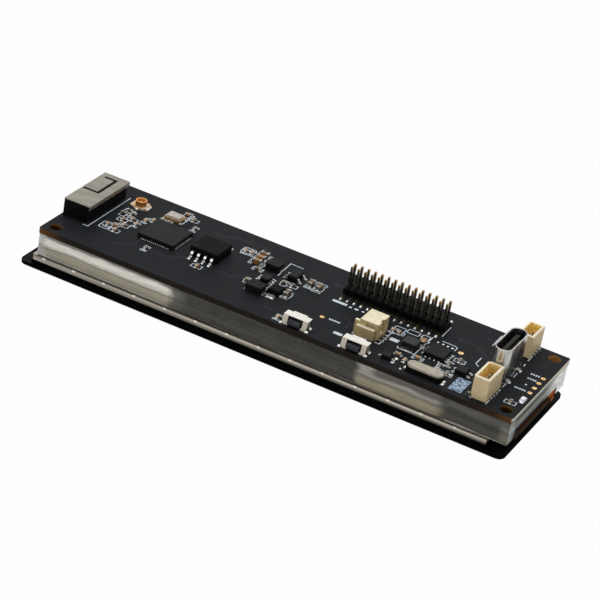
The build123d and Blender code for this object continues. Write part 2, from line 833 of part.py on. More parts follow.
def battery_socket_housing():
    """A side-entry socket: a low block in front of its mouth, an ear and a cut-down strip on its left."""
    half = battery_width / 2
    front = -battery_depth / 2
    back = battery_depth / 2
    top = battery_height
    strip_edge = -half + battery_left_strip
    body = slab(-half, half, front, back, 0, top)
    body = fillet(body.edges().filter_by(Axis.Z), 0.12)
    step = slab(-half + battery_step_inset, half - battery_wall, front - battery_front_step, front + 0.5,
                0, battery_floor)
    rim = [e for e in step.edges() if e.center().Y < front - battery_front_step + 0.01]
    step = chamfer(rim, 0.08)
    strip = slab(-half - 1, strip_edge, front + battery_ear_depth, back + 1, 0.6, top + 1)
    ear_top = slab(-half - 1, strip_edge, front - 1, back, top - battery_ear_drop, top + 1)
    mouth_top = battery_floor + battery_opening
    mouth = slab(strip_edge + 0.3, half - battery_wall, front - 1, front + battery_depth * 0.7,
                 battery_floor, mouth_top)
    key = slab(strip_edge + 0.3, -0.1, front, front + 0.4, battery_floor, mouth_top)
    recess = slab(half - battery_side_recess, half + 1, front + battery_depth * 0.3,
                  front + battery_depth * 0.58, 0.8, top + 1)
    bump = slab(half - battery_side_recess, half - 0.1, front + battery_depth * 0.4,
                front + battery_depth * 0.48, battery_floor - 0.4, battery_floor)
    housing = (body - strip - ear_top - recess) + step + bump
    return spot(battery_place) * (housing - mouth + key)


def battery_socket_contacts():
    """Pins in the mouth with tails behind, a solder tab on one flank and three feet on the other."""
    pieces = []
    middle = battery_floor + battery_opening * 0.5
    back = battery_depth / 2
    for i in range(battery_pin_count):
        x = (i - (battery_pin_count - 1) / 2) * 1.0
        pieces.append(slab(x - 0.15, x + 0.15, -0.9, back - battery_depth * 0.3, middle - 0.15, middle + 0.15))
        pieces.append(slab(x - 0.15, x + 0.15, back, back + 0.6, 0, 0.2))
    left = -battery_width / 2
    pieces.append(slab(left - 0.3, left, back - 1.4, back - 0.4, 0, 0.5))
    for y in battery_side_tails:
        pieces.append(slab(-left, -left + battery_tail_reach, y - 0.18, y + 0.18, 0, 0.18))
    return spot(battery_place) * group(pieces)


def clock_base():
    outline = spot(clock_place) * RectangleRounded(clock_length, clock_width, clock_width * 0.3)
    return extrude(outline, clock_base_height)


def clock_can():
    """A drawn stadium-shaped can with a broken top edge, on its base."""
    outline = spot(clock_place, clock_base_height) * SlotOverall(clock_length - 0.1, clock_width - 0.1)
    can = extrude(outline, clock_height - clock_base_height)
    return chamfer(can.edges().group_by(Axis.Z)[-1], (clock_height - clock_base_height) * 0.2)


def socket_length(pins):
    return (pins - 1) * socket_pitch + 2 * socket_end_length


def front_socket_place():
    """Beside the USB socket, towards the front edge."""
    y = -usb_width / 2 - front_socket_gap - socket_length(front_socket_pin_count) / 2
    return Pos(board_right - socket_end_inset, y, board_top)


def back_socket_place():
    """Flush with the back edge, but for a hair."""
    y = board_width / 2 - back_socket_edge_gap - socket_length(back_socket_pin_count) / 2
    return Pos(board_right - socket_end_inset, y, board_top)


def socket_housing(place, pins):
    """An upright shrouded socket, open at the top, with ribs inside and two bevelled corners."""
    length = socket_length(pins)
    body = Pos(0, 0, socket_height / 2) * Box(socket_depth, length, socket_height)
    outer = body.edges().filter_by(Axis.Z).sort_by(Axis.X)
    body = chamfer(outer[:2], socket_corner)
    cavity = slab(-socket_depth / 2 + socket_wall, socket_depth / 2 - socket_wall,
                  -length / 2 + socket_wall, length / 2 - socket_wall, socket_floor, socket_height + 1)
    cavity = chamfer(cavity.edges().filter_by(Axis.Z).sort_by(Axis.X)[:2], socket_corner * 0.6)
    body = body - cavity
    wall_x = socket_depth / 2 - socket_wall
    ribs = []
    for side in (-1, 1):
        y = side * (length / 2 - socket_wall) * 0.45
        ribs.append(slab(wall_x - 0.25, wall_x, y - 0.2, y + 0.2, socket_floor, socket_height - 0.5))
    body = body + ribs
    top = body.faces().sort_by(Axis.Z)[-1]
    body = chamfer(top.outer_wire().edges(), 0.12)
    return place * body


def socket_contacts(place, pins):
    """Upright pins standing on the floor, a tail under each, and two solder tabs."""
    length = socket_length(pins)
    half = socket_pin / 2
    pieces = []
    for i in range(pins):
        y = (i - (pins - 1) / 2) * socket_pitch
        pieces.append(slab(-half, half, y - half, y + half, socket_floor, socket_pin_height))
        pieces.append(slab(socket_depth / 2, socket_depth / 2 + 0.5, y - half, y + half, 0, 0.15))
    for side in (-1, 1):
        y = side * (length / 2 - 0.4)
        pieces.append(slab(-socket_depth / 2 - 0.6, -socket_depth / 2, y - 0.35, y + 0.35, 0, 0.5))
    return place * group(pieces)


def usb_place(lift=0.0):
    return Pos(board_right - socket_end_inset, 0, board_top + lift)


def usb_outline(inset):
    """The racetrack section of the upright socket, long way across the board."""
    return Rot(0, 0, 90) * SlotOverall(usb_width - 2 * inset, usb_depth - 2 * inset)


def usb_shell():
    """A rolled steel shell, open at the top, standing on four pegs."""
    shell = extrude(usb_outline(0), usb_height)
    bore = Pos(0, 0, -1) * extrude(usb_outline(usb_sheet), usb_height + 2)
    shell = shell - bore
    rim = [e for e in shell.edges() if e.center().Z > usb_height - 0.01]
    shell = chamfer(rim, usb_sheet * 0.25)
    foot = 0.35
    pegs = []
    for side in (-1, 1):
        for step in (-1, 1):
            x = side * (usb_depth / 2 + foot / 2)
            y = step * usb_width * 0.26
            pegs.append(Pos(x, y, 0.15) * Box(foot, 0.9, 0.3))
    return usb_place() * (shell + pegs)


def usb_insert():
    """The moulded core: a floor that fills the shell and the tongue standing on it."""
    gap = 0.02
    floor = extrude(usb_outline(usb_sheet + gap), usb_insert_height)
    top = usb_height - usb_tongue_recess
    middle = (usb_insert_height + top) / 2
    tongue = Pos(0, 0, middle) * Box(usb_tongue, usb_tongue_width, top - usb_insert_height)
    tongue = fillet(tongue.edges().filter_by(Axis.X).group_by(Axis.Z)[-1], 0.3)
    return usb_place() * (floor + tongue)


def usb_contacts():
    """The contact strips on both faces of the tongue."""
    strips = []
    top = usb_height - usb_tongue_recess - 0.7
    for side in (-1, 1):
        x = side * (usb_tongue / 2 + usb_contact_sheet / 2)
        for i in range(usb_contact_count):
            y = (i - (usb_contact_count - 1) / 2) * usb_contact_pitch
            height = top - usb_insert_height
            strip = Box(usb_contact_sheet, usb_contact_width, height)
            strips.append(usb_place(usb_insert_height + height / 2) * Pos(x, y, 0) * strip)
    return group(strips)


def status_led():
    """A small lamp by the right edge: a pale carrier with a clear block on it."""
    half = lamp_height / 2
    carrier = spot(lamp_place, half / 2) * Box(lamp_length, lamp_width, half)
    lens = spot(lamp_place, half * 1.5) * Box(lamp_length * 0.94, lamp_width * 0.62, half)
    return carrier + chamfer(lens.edges().group_by(Axis.Z)[-1], lamp_height / 6)


def build():
    os.makedirs("parts", exist_ok=True)
    medium_bodies, medium_caps = chip_part_pieces(medium_parts, medium_part_length, medium_part_width,
                                                  medium_part_height, medium_part_cap)
    small_bodies, small_caps = chip_part_pieces(small_parts, small_part_length, small_part_width,
                                                small_part_height, small_part_cap)
    save("cover_glass", cover_glass())
    save("optical_adhesive", optical_adhesive())
    save("lcd_cell", lcd_cell())
    save("display_driver_chip", display_driver_chip())
    save("backlight_bezel", backlight_bezel())
    save("light_guide", light_guide())
    save("backlight_led_strip", backlight_led_strip())
    save("display_flex", display_flex())
    save("flex_connector", flex_connector())
    save("spacer_tape", spacer_tape())
    save("spacer_frame", spacer_frame())
    save("main_board", main_board())
    save("antenna_carrier", antenna_carrier())
    save("antenna_plate", antenna_plate())
    save("coax_base", coax_base())
    save("coax_contacts", coax_contacts())
    save("crystal_base", crystal_base())
    save("crystal_lid", crystal_lid())
    save("processor_chip", chip_body(processor_place, processor_size, processor_size,
                                     processor_height, standoff))
    save("processor_leads", flat_leads(processor_place, processor_size, processor_side_lead_count,
                                       processor_pitch))
    save("flash_chip", flash_chip())
    save("flash_leads", flash_leads())
    save("charger_chip", chip_body(charger_place, charger_size, charger_size, charger_height, standoff))
    save("charger_leads", flat_leads(charger_place, charger_size, charger_side_lead_count, charger_pitch,
                                     charger_lead_width, charger_lead_reach, charger_lead_height))
    save("power_inductor", power_inductor())
    save("boost_inductor", boost_inductor())
    save("charge_inductor", charge_inductor())
    save("load_switch_chip", load_switch_chip())
    save("inductor_ends", inductor_ends())
    save("rectifier_body", rectifier_body())
    save("rectifier_tabs", rectifier_tabs())
    save("regulator_chip", regulator_chip())
    save("regulator_leads", regulator_leads())
    save("small_chips", small_chips())
    save("small_chip_leads", small_chip_leads())
    save("capacitor_bodies", group(medium_bodies))
    save("capacitor_ends", group(medium_caps))
    save("resistor_bodies", group(small_bodies))
    save("resistor_ends", group(small_caps))
    save("header_base", header_base())
    save("header_pins", header_pins())
    for side in button_along:
        save(side + "_button_base", button_base(side))
        save(side + "_button_cover", button_cover(side))
        save(side + "_button_plunger", button_plunger(side))
    save("battery_socket_housing", battery_socket_housing())
    save("battery_socket_contacts", battery_socket_contacts())
    save("clock_base", clock_base())
    save("clock_can", clock_can())
    save("front_socket_housing", socket_housing(front_socket_place(), front_socket_pin_count))
    save("front_socket_contacts", socket_contacts(front_socket_place(), front_socket_pin_count))
    save("back_socket_housing", socket_housing(back_socket_place(), back_socket_pin_count))
    save("back_socket_contacts", socket_contacts(back_socket_place(), back_socket_pin_count))
    save("usb_shell", usb_shell())
    save("usb_insert", usb_insert())
    save("usb_contacts", usb_contacts())
    save("status_led", status_led())


build()
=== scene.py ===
import math

import bmesh
import bpy
from mathutils import Matrix, Vector


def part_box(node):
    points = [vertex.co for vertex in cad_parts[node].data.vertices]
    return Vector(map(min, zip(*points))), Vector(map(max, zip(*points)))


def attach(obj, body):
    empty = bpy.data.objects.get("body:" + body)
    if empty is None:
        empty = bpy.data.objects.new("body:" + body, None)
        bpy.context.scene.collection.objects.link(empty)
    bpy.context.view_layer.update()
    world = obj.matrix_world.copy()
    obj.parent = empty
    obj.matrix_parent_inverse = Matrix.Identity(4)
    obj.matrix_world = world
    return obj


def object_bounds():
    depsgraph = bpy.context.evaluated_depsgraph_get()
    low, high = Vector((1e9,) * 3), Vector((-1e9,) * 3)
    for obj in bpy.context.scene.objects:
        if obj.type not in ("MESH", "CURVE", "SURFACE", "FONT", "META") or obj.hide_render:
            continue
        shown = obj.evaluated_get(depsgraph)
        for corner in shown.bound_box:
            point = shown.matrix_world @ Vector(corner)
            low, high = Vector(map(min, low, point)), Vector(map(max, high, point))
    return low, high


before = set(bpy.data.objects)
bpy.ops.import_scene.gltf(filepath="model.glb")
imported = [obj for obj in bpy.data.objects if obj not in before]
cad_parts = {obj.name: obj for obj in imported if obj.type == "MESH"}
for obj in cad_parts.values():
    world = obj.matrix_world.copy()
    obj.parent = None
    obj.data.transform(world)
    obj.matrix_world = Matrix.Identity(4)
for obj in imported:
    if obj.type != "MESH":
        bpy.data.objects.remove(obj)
cad_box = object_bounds()

# Metres in the row frame. Places on the board are given in millimetres from its middle.
MM = 0.001
board_low, board_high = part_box("main_board")
BOARD_TOP = board_high.z
MIDDLE_X = (board_low.x + board_high.x) / 2
PAD_RISE = 0.03 * MM
INK_RISE = 0.025 * MM
TRACK_RISE = 0.012 * MM
HOLE_INSET = 2.05 * MM
HOLE_REACH = HOLE_INSET * 0.6
INK_WIDTH = 0.16 * MM
DASH_STEP = 0.42
DASH_LENGTH = 0.65 * DASH_STEP
DASH_HALF_WIDTH = 0.25
TRACK_WIDTH = 0.2 * MM
VIA_INNER = 0.12 * MM
VIA_OUTER = 0.27 * MM
VIA_RISE = TRACK_RISE * 1.5

# Camera, as fitted to the photograph
CAMERA_PLACE = (0.1371023, -0.3253523, 0.1997780)
CAMERA_RIGHT = (0.87401153, 0.45917261, 0.15894768)
CAMERA_UP = (-0.34962758, 0.3671194, 0.86196514)
CAMERA_BACK = (0.33743801, -0.80893996, 0.481406)
CAMERA_LENS = 144.03

# White lines printed on the board, in millimetres from its middle
INK_LINES = [
    [(-38.6, 8.2), (-38.6, -6), (-39.5, -6)],
    [(-28.3, 6.4), (-27, 6.4), (-26.9, 10.6)],
    [(-5.7, 2.2), (-6, 7.5), (-3.6, 7.4)],
    [(25.5, 2.1), (27.8, 2.1), (28.3, 1.8), (28.3, 0.7)],
    [(20.4, -4.7), (20.5, -5.2), (23.6, -5.2), (23.7, 2.4)],
    [(28.9, -0.9), (28.7, -3.1)],
    [(27.8, -4.4), (28.1, -6.3)],
    [(24.6, 7.2), (24.7, 3.6)],
    [(32.4, 10.9), (32.5, 6.8)],
    [(30.9, -2), (30.9, -6)],
    [(33.4, -1.2), (32.7, -0.6), (32.7, 1.6)],
    [(39.1, -11.1), (39.2, -5.4)],
    [(39.1, 6.4), (39.1, 12)],
    [(36.4, -11), (35.6, -10.6), (35.6, -9.6)],
    [(35.4, -3.4), (35.4, 3.4)],
    [(39.1, -4.4), (39.2, -2.9)],
    [(39.3, -0.2), (39.3, 1.4)],
    [(39.2, 4.3), (39.2, 5)],
    [(12.7, -1), (12.7, -6.3), (13.6, -6.3)],
    [(16.9, -6.3), (17.7, -6.3), (17.7, -1.6)]]
INK_BOXES = [
    (-37.4, -35.6, -4.6, -2.2), (-14.7, -12.5, 5.2, 7.2), (-0.6, 0.9, 2.1, 5), (1.1, 2.5, 2.1, 5),
    (-1.9, -0.6, -4.1, -1.4), (17.3, 19.2, -1.3, 1.3), (19.5, 21.6, 0.55, 1.8), (22.1, 23.5, 0.5, 1.8)]
INK_PLATES = [
    (5.2, 7.9, 1.1, 1.8), (8.4, 8.9, 1, 1.5), (9.4, 10.1, 1.05, 1.55), (10.7, 11.2, 1.2, 1.6),
    (10.2, 11.8, -8.5, -7.7), (18.3, 19.9, -3.8, -2.8), (28.7, 29.3, -9.2, -8.2), (30.5, 31.4, -7.2, -6.7)]
CODE_PATCH = (32.3, 34.6, -11, -6.6)
# Round dots: x, y, radius
GOLD_DOTS = [
    (6.5, -5, 0.42), (29.4, 0.7, 0.48), (43.35, 2.8, 0.42), (43.35, 0.9, 0.42), (43.35, -1, 0.42),
    (43.35, -2.9, 0.42), (31.6, -3.2, 0.25)]
SOLDER_DOTS = [
    (25, 1.2, 0.24), (25.95, 1.15, 0.24), (26.85, 1.1, 0.24), (27.7, 1.05, 0.24), (22, -8.6, 0.36),
    (22, -10.1, 0.36), (23.85, -11, 0.28), (23.35, -1.6, 0.24)]
# Rows of short dashes that stand for small lettering: first x, last x, y
DASHED_LABELS = [
    (41.1, 42.8, 2.9), (41.2, 42.8, 1.25), (41.7, 42.3, -0.95), (40.6, 42.6, -2.85), (7.7, 9.8, -4.75)]
# Chip parts without printed brackets lie in this box: first x, last x, first y, last y
UNFRAMED = (20, 25, -12, -6)
# Brackets printed round chip parts: half their length and half their width, for small parts and for the
# others, and where their sides start, as a share of half the length
SMALL_PART = 0.7 * MM
SMALL_BRACKETS = (0.95 * MM, 0.52 * MM)
LARGE_BRACKETS = (1.35 * MM, 0.75 * MM)
BRACKET_START = 0.55
BRACKET_WIDTH = INK_WIDTH * 0.8
# Dots moulded in the chips: node, distance from its front left corner along X and along Y, radius
CHIP_DOTS = [("processor_chip", 0.8, 0.28), ("flash_chip", 0.7, 0.28), ("charger_chip", 0.5, 0.16)]
# Blobs of solder at single feet: half the size along X, half the size along Y, height
HEADER_BLOB = (0.26, 0.42, 0.3)
CLIP_FRONT_BLOB = (0.42, 0.38, 0.32)
CLIP_BACK_BLOB = (0.32, 0.5, 0.3)
SHELL_BLOB = (0.3, 0.45, 0.2)
CLOCK_BLOB = (0.42, 0.5, 0.3)
CRYSTAL_BLOB = (0.26, 0.3, 0.16)
LAMP_BLOB = (0.42, 0.28, 0.25)

# How much light comes out of the clear spacer along X, painted into its colour, 0 to 1, in millimetres of the
# row frame
SPACER_LIGHT = [
    (-46, 1), (-17.2, 1), (-16, 0.25), (-13, 0), (17.9, 0), (18.9, 0.9), (32.9, 0.85),
    (33.4, 0.6), (33.9, 0.25), (34.4, 0.08), (43.4, 0.06), (44.6, 0.45), (46, 0.5)]
# Where the block at its left end stops, where the painted light at the start of its right stretch fades out,
# and where the stretch of painted shade by the right corner begins
SPACER_BLOCK = (-41.7, -41.2)
SPACER_BRIGHT_START = (20.8, 22.2)
SPACER_CORNER = (33.6, 34.8)
# Its colours from the screen up, as height, red, green and blue, with light and shade painted in: where light
# comes out on the left and on the right, where none does, by the right corner, and on the right end
SPACER_LEFT_LAYERS = [
    (2.6, 214, 212, 206), (2.75, 216, 212, 204), (2.9, 176, 170, 154), (3.6, 206, 198, 174),
    (4.25, 210, 202, 178), (4.4, 154, 150, 134), (4.65, 238, 235, 222), (5.2, 255, 253, 240),
    (6, 255, 253, 242), (6.35, 170, 170, 166), (6.7, 120, 118, 112)]
SPACER_RIGHT_LAYERS = [
    (2.6, 150, 148, 144), (2.75, 106, 101, 88), (3.1, 202, 190, 156), (4, 216, 204, 170),
    (4.35, 192, 182, 156), (4.7, 150, 147, 134), (5.1, 224, 220, 206), (5.35, 212, 208, 194),
    (5.75, 122, 121, 117), (6.7, 128, 126, 122)]
SPACER_UNLIT_LAYERS = [
    (2.6, 140, 138, 134), (2.7, 40, 39, 36), (3.3, 56, 54, 51), (3.9, 84, 81, 76), (4.3, 58, 57, 55),
    (5.6, 44, 44, 44), (6.7, 48, 48, 48)]
SPACER_CORNER_LAYERS = [
    (2.6, 236, 232, 222), (2.72, 212, 207, 196), (2.86, 44, 42, 39), (3.2, 52, 50, 47),
    (3.7, 64, 62, 58), (4, 52, 50, 47), (4.3, 20, 20, 20), (4.9, 16, 16, 17), (5.25, 34, 34, 34),
    (5.5, 104, 104, 102), (6.1, 120, 120, 117), (6.4, 96, 96, 94), (6.7, 50, 50, 50)]
SPACER_END_LAYERS = [
    (2.6, 50, 44, 38), (4, 24, 27, 36), (4.3, 54, 60, 82), (4.7, 136, 146, 158), (5.2, 176, 180, 168),
    (5.6, 158, 148, 128), (6, 112, 105, 96), (6.4, 84, 90, 100), (6.7, 120, 130, 142)]
# How much painted sheen its bright band on the left gets through its metallic value, from the screen up; how
# much painted light seen through its right end shows along Y, and how much painted glint that end gets there
SPACER_BAND_SHINE = [(2.6, 0), (4.5, 0), (5.1, 0.5), (6, 0.5), (6.3, 0), (6.7, 0)]
SPACER_END_LIGHT_THROUGH = [
    (-12.4, 0.45), (-10.2, 0.42), (-9.2, 0), (0, 0.03), (2, 0.14), (4, 0.42), (6, 0.8),
    (8.2, 1), (12.4, 0.9)]
SPACER_END_SHINE = [(-12.4, 0.1), (-9.6, 0), (3, 0), (5, 0.15), (7.6, 0.6), (9, 0.6), (12.4, 0.45)]

# Covered tracks, and the small plated holes that they end in
TRACKS = [
    [(-26.5, -5.5), (-23, -5.5), (-20.5, -3.2)],
    [(-26.5, -6), (-22.6, -6), (-20, -3.4)],
    [(-14, -3.6), (-11.5, -3.6), (-9.6, -1.8)],
    [(-14, -4.1), (-11.2, -4.1), (-9.4, -2.4), (-9, -2.4)],
    [(3.5, 6), (6.8, 6), (8.3, 4.6)],
    [(3.5, 6.5), (7, 6.5), (8.8, 4.9)],
    [(3, 7), (7.2, 7), (9.3, 5.1)],
    [(-22.4, 8), (-19, 8), (-17.6, 9.4), (-12, 9.4)],
    [(-22.4, 7.5), (-18.8, 7.5), (-17.4, 8.9), (-11.4, 8.9)],
    [(27.6, 4.4), (30.5, 4.4), (33.8, 1.4)],
    [(27.6, 4.9), (30.8, 4.9), (34, 1.9)],
    [(-32, -8), (-29.4, -5.6), (-29.4, -3.4)],
    [(9.5, -2), (11, -3.4), (11, -5.2)],
    [(31, 8.4), (36, 8.4), (38.2, 10.2)],
    [(-2.2, -9), (3.2, -9), (4, -9.7)]]
VIAS = [
    (-26.5, -5.5), (-26.5, -6), (-14, -3.6), (-14, -4.1), (3.5, 6), (3.5, 6.5), (3, 7),
    (-12, 9.4), (-11.4, 8.9), (27.6, 4.4), (27.6, 4.9), (-32, -8), (11, -5.2), (31, 8.4),
    (-2.2, -9), (-20.6, 9.9), (-31, 10.6), (-25, -8.8), (-9.5, 10.5), (-16.6, -6.6), (14.8, -10.4),
    (8.4, -3.6), (27, -9.6), (33.6, 4.2), (30.2, 10.4), (42, 6.2), (41, -3.9), (-42.6, -9),
    (-34.4, -10.6), (0.2, 9.8)]


def place(x, y):
    """A point on the board's top, from millimetres."""
    return Vector((MIDDLE_X + x * MM, y * MM, BOARD_TOP))


# Materials. Colours are as they show on the screen, 0 to 255, and become linear where they are used.
SOCKETS = {"metallic": "Metallic", "ior": "IOR", "specular": "Specular IOR Level", "roughness": "Roughness",
           "transmission": "Transmission Weight", "subsurface": "Subsurface Weight",
           "subsurface_scale": "Subsurface Scale", "subsurface_radius": "Subsurface Radius"}


def linear(colour):
    """A screen colour made linear, and opaque."""
    shares = [c / 255 for c in colour]
    return tuple(s / 12.92 if s <= 0.04045 else ((s + 0.055) / 1.055) ** 2.4 for s in shares) + (1,)


def shader(name, **sockets):
    """A new material and its node tree, with plain values on its Principled shader's sockets."""
    material = bpy.data.materials.new(name)
    material.use_nodes = True
    for socket, value in sockets.items():
        material.node_tree.nodes["Principled BSDF"].inputs[SOCKETS[socket]].default_value = value
    return material, material.node_tree


def link(output, entry):
    """Links two sockets of one node tree."""
    output.id_data.links.new(output, entry)


def coordinates(tree, grain, stretch=(1, 1, 1)):
    """The surface's own place, scaled so that one unit is the grain in millimetres."""
    where = tree.nodes.new("ShaderNodeTexCoord")
    scale = tree.nodes.new("ShaderNodeMapping")
    scale.inputs["Scale"].default_value = [1 / (grain * MM * s) for s in stretch]
    link(where.outputs["Object"], scale.inputs["Vector"])
    return scale.outputs["Vector"]


def noise(tree, grain, stretch=(1, 1, 1), detail=3):
    """A cloudy pattern, most of it from 0.35 to 0.65."""
    node = tree.nodes.new("ShaderNodeTexNoise")
    node.inputs["Scale"].default_value = 1.0
    node.inputs["Detail"].default_value = detail
    link(coordinates(tree, grain, stretch), node.inputs["Vector"])
    return node.outputs["Fac"]


def span(value, low, high, start=0.35, end=0.65):
    """Takes a value from start..end to low..high."""
    node = value.id_data.nodes.new("ShaderNodeMapRange")
    link(value, node.inputs["Value"])
    for socket, number in (("From Min", start), ("From Max", end), ("To Min", low), ("To Max", high)):
        node.inputs[socket].default_value = number
    return node.outputs["Result"]


def ramp(value, stops):
    """Turns a value into a colour or a number by straight steps between stops: a value, then its result."""
    first, last = stops[0][0], stops[-1][0]
    node = value.id_data.nodes.new("ShaderNodeValToRGB")
    elements = node.color_ramp.elements
    while len(elements) < len(stops):
        elements.new(0.5)
    for element, (position, *result) in zip(elements, stops):
        element.position = (position - first) / (last - first)
        element.color = linear(result) if len(result) == 3 else (*result * 3, 1)
    link(span(value, 0, 1, first, last), node.inputs["Fac"])
    return node.outputs["Color"]


def blend(factor, first, second):
    """Mixes two colours, each a plain colour or a socket."""
    node = factor.id_data.nodes.new("ShaderNodeMix")
    node.data_type = "RGBA"
    link(factor, node.inputs[0])
    for socket, colour in ((node.inputs[6], first), (node.inputs[7], second)):
        if isinstance(colour, tuple):
            socket.default_value = linear(colour)
        else:
            link(colour, socket)
    return node.outputs[2]


def combine(first, second, operation="ADD"):
    """One sum on a socket and a second value, which is a plain number or a socket."""
    node = first.id_data.nodes.new("ShaderNodeMath")
    node.operation = operation
    link(first, node.inputs[0])
    if isinstance(second, (int, float)):
        node.inputs[1].default_value = second
    else:
        link(second, node.inputs[1])
    return node.outputs[0]


def place_along(tree, axis):
    """The surface's place along one axis, in millimetres of the row frame."""
    where = tree.nodes.new("ShaderNodeTexCoord")
    parts = tree.nodes.new("ShaderNodeSeparateXYZ")
    link(where.outputs["Object"], parts.inputs["Vector"])
    return combine(parts.outputs[axis], 1 / MM, "MULTIPLY")


def bands(tree, axis, stops):
    """Colours or numbers that follow the place along one axis."""
    return ramp(place_along(tree, axis), stops)


def wavering(tree, axis, cloud, amount):
    """The place along one axis, moved either way by noise, so that bands on it aren't ruled lines."""
    return combine(place_along(tree, axis), span(cloud, -amount, amount, 0.3, 0.7))


def facing(tree, axis, start, end):
    """0 to 1 as the surface turns to face along one axis, either way."""
    geometry = tree.nodes.new("ShaderNodeNewGeometry")
    parts = tree.nodes.new("ShaderNodeSeparateXYZ")
    link(geometry.outputs["True Normal"], parts.inputs["Vector"])
    return span(combine(parts.outputs[axis], 0, "ABSOLUTE"), 0, 1, start, end)


def flecked(cloud, share, tone, flecks):
    """A tone with up to that share of another where the noise is high."""
    return blend(span(cloud, 0, share), tone, flecks)


def dress(material, tone, cloud, rough, height, depth, **sockets):
    """Links the colour, a roughness that follows noise, a relief in millimetres and any other sockets."""
    tree = material.node_tree
    inputs = tree.nodes["Principled BSDF"].inputs
    link(tone, inputs["Base Color"])
    link(span(cloud, *rough), inputs["Roughness"])
    for socket, value in sockets.items():
        link(value, inputs[SOCKETS[socket]])
    bump = tree.nodes.new("ShaderNodeBump")
    bump.inputs["Distance"].default_value = depth * MM
    link(height, bump.inputs["Height"])
    link(bump.outputs["Normal"], inputs["Normal"])
    return material


def finish(name, dark, pale, grain, rough, bump, bump_grain, stretch=(1, 1, 1), **sockets):
    """Two tones mixed by noise of one grain, roughness that follows it, and a finer relief."""
    material, tree = shader(name, **sockets)
    cloud = noise(tree, grain, stretch)
    tone = blend(span(cloud, 0, 1), dark, pale)
    return dress(material, tone, cloud, rough, noise(tree, bump_grain, stretch, 2), bump)


def lit_from_above(name, top, sides, flecks, grain=0.7, rough=(0.4, 0.55), bump=0.01, **sockets):
    """Painted light from above: one tone on the faces that look up or down and a shaded one on the sides,
    both with flecks of a third.
    """
    material, tree = shader(name, **sockets)
    cloud = noise(tree, grain)
    tone = flecked(cloud, 0.25, blend(facing(tree, "Z", 0.4, 0.8), sides, top), flecks)
    return dress(material, tone, cloud, rough, noise(tree, grain / 4), bump)


def fibreglass():
    """The board's cut edge: dark on the long sides and lighter near their ends, pale layered glass cloth at
    the ends, paler towards the back.
    """
    material, tree = shader("board_edge", specular=0.08)
    cloth = noise(tree, 0.25, (3, 3, 0.35))
    layers = bands(tree, "Z", [(6.7, 92, 100, 112), (7, 150, 162, 160), (7.3, 232, 236, 226),
                               (7.5, 255, 250, 226), (7.7, 255, 222, 140)])
    backward = span(place_along(tree, "Y"), 0, 0.6, 2, 8)
    cut = blend(backward, flecked(cloth, 0.35, layers, (120, 104, 80)), (255, 246, 222))
    near_ends = bands(tree, "X", [(-43.6, 0.9), (-42.6, 0.4), (-38, 0), (38, 0), (42.5, 0.1), (45.8, 0.45)])
    dark = blend(span(cloth, 0, 1), (18, 15, 12), (38, 31, 25))
    long_sides = blend(near_ends, dark, (138, 96, 40))
    tone = blend(facing(tree, "X", 0.25, 0.6), long_sides, cut)
    return dress(material, tone, cloth, (0.5, 0.75), cloth, 0.02)


def bored_wall():
    """The walls of the screw holes: brown laminate at the top, painted shade further down, more light in the
    back ones.
    """
    material, tree = shader("hole_wall", specular=0.02)
    cloth = noise(tree, 0.3)
    # Darker further down the holes: painted shade.
    depth = bands(tree, "Z", [(6.3, 36, 25, 14), (7.2, 78, 54, 28), (7.7, 150, 108, 58)])
    tone = blend(span(place_along(tree, "Y"), 0, 0.75, 0, 1), depth, (226, 178, 100))
    return dress(material, flecked(cloth, 0.3, tone, (40, 28, 16)), cloth, (0.6, 0.75), cloth, 0.02)


def clear_plastic():
    """Moulded clear plastic that carries light along its walls, clouded where it comes out, with that light
    and the shade where none does painted into its colour.
    """
    material, tree = shader("clear_plastic", ior=1.49, specular=0.05)
    cloud = noise(tree, 2.6, (1.6, 1.6, 0.7), 4)
    ripple = noise(tree, 0.22, (16, 1, 0.7))
    speckle = noise(tree, 0.16)
    height = wavering(tree, "Z", cloud, 0.16)
    along = wavering(tree, "X", cloud, 0.5)
    left, right, unlit, corner = [ramp(height, layers) for layers in (
        SPACER_LEFT_LAYERS, SPACER_RIGHT_LAYERS, SPACER_UNLIT_LAYERS, SPACER_CORNER_LAYERS)]
    on_left = span(along, 1, 0, 0, 1)
    left = blend(span(along, 1, 0, *SPACER_BLOCK), left, (216, 216, 213))
    upper = span(height, 0, 0.6, 5.3, 5.6)
    # A painted pool of light at the start of the right stretch, on its upper part.
    bright_start = combine(span(along, 0.6, 0, *SPACER_BRIGHT_START), upper, "MINIMUM")
    right = blend(bright_start, right, (252, 246, 230))
    # Darker layers by the right corner: painted shade.
    unlit = blend(span(along, 0, 1, *SPACER_CORNER), unlit, corner)
    share = ramp(along, SPACER_LIGHT)
    sides = blend(share, unlit, blend(on_left, right, left))
    grain = combine(span(ripple, 0, 0.28), span(speckle, 0, 0.24))
    mottle = combine(span(cloud, 0, 0.14), grain)
    left_share = combine(on_left, share, "MULTIPLY")
    # A painted sheen on the lit band on the left, through the metallic value.
    shine = combine(ramp(height, SPACER_BAND_SHINE), left_share, "MULTIPLY")
    return dress(material, blend(mottle, sides, (122, 119, 108)), cloud, (0.06, 0.2), cloud, 0.02,
                 metallic=shine, transmission=span(share, 0.4, 0.1, 0, 1))


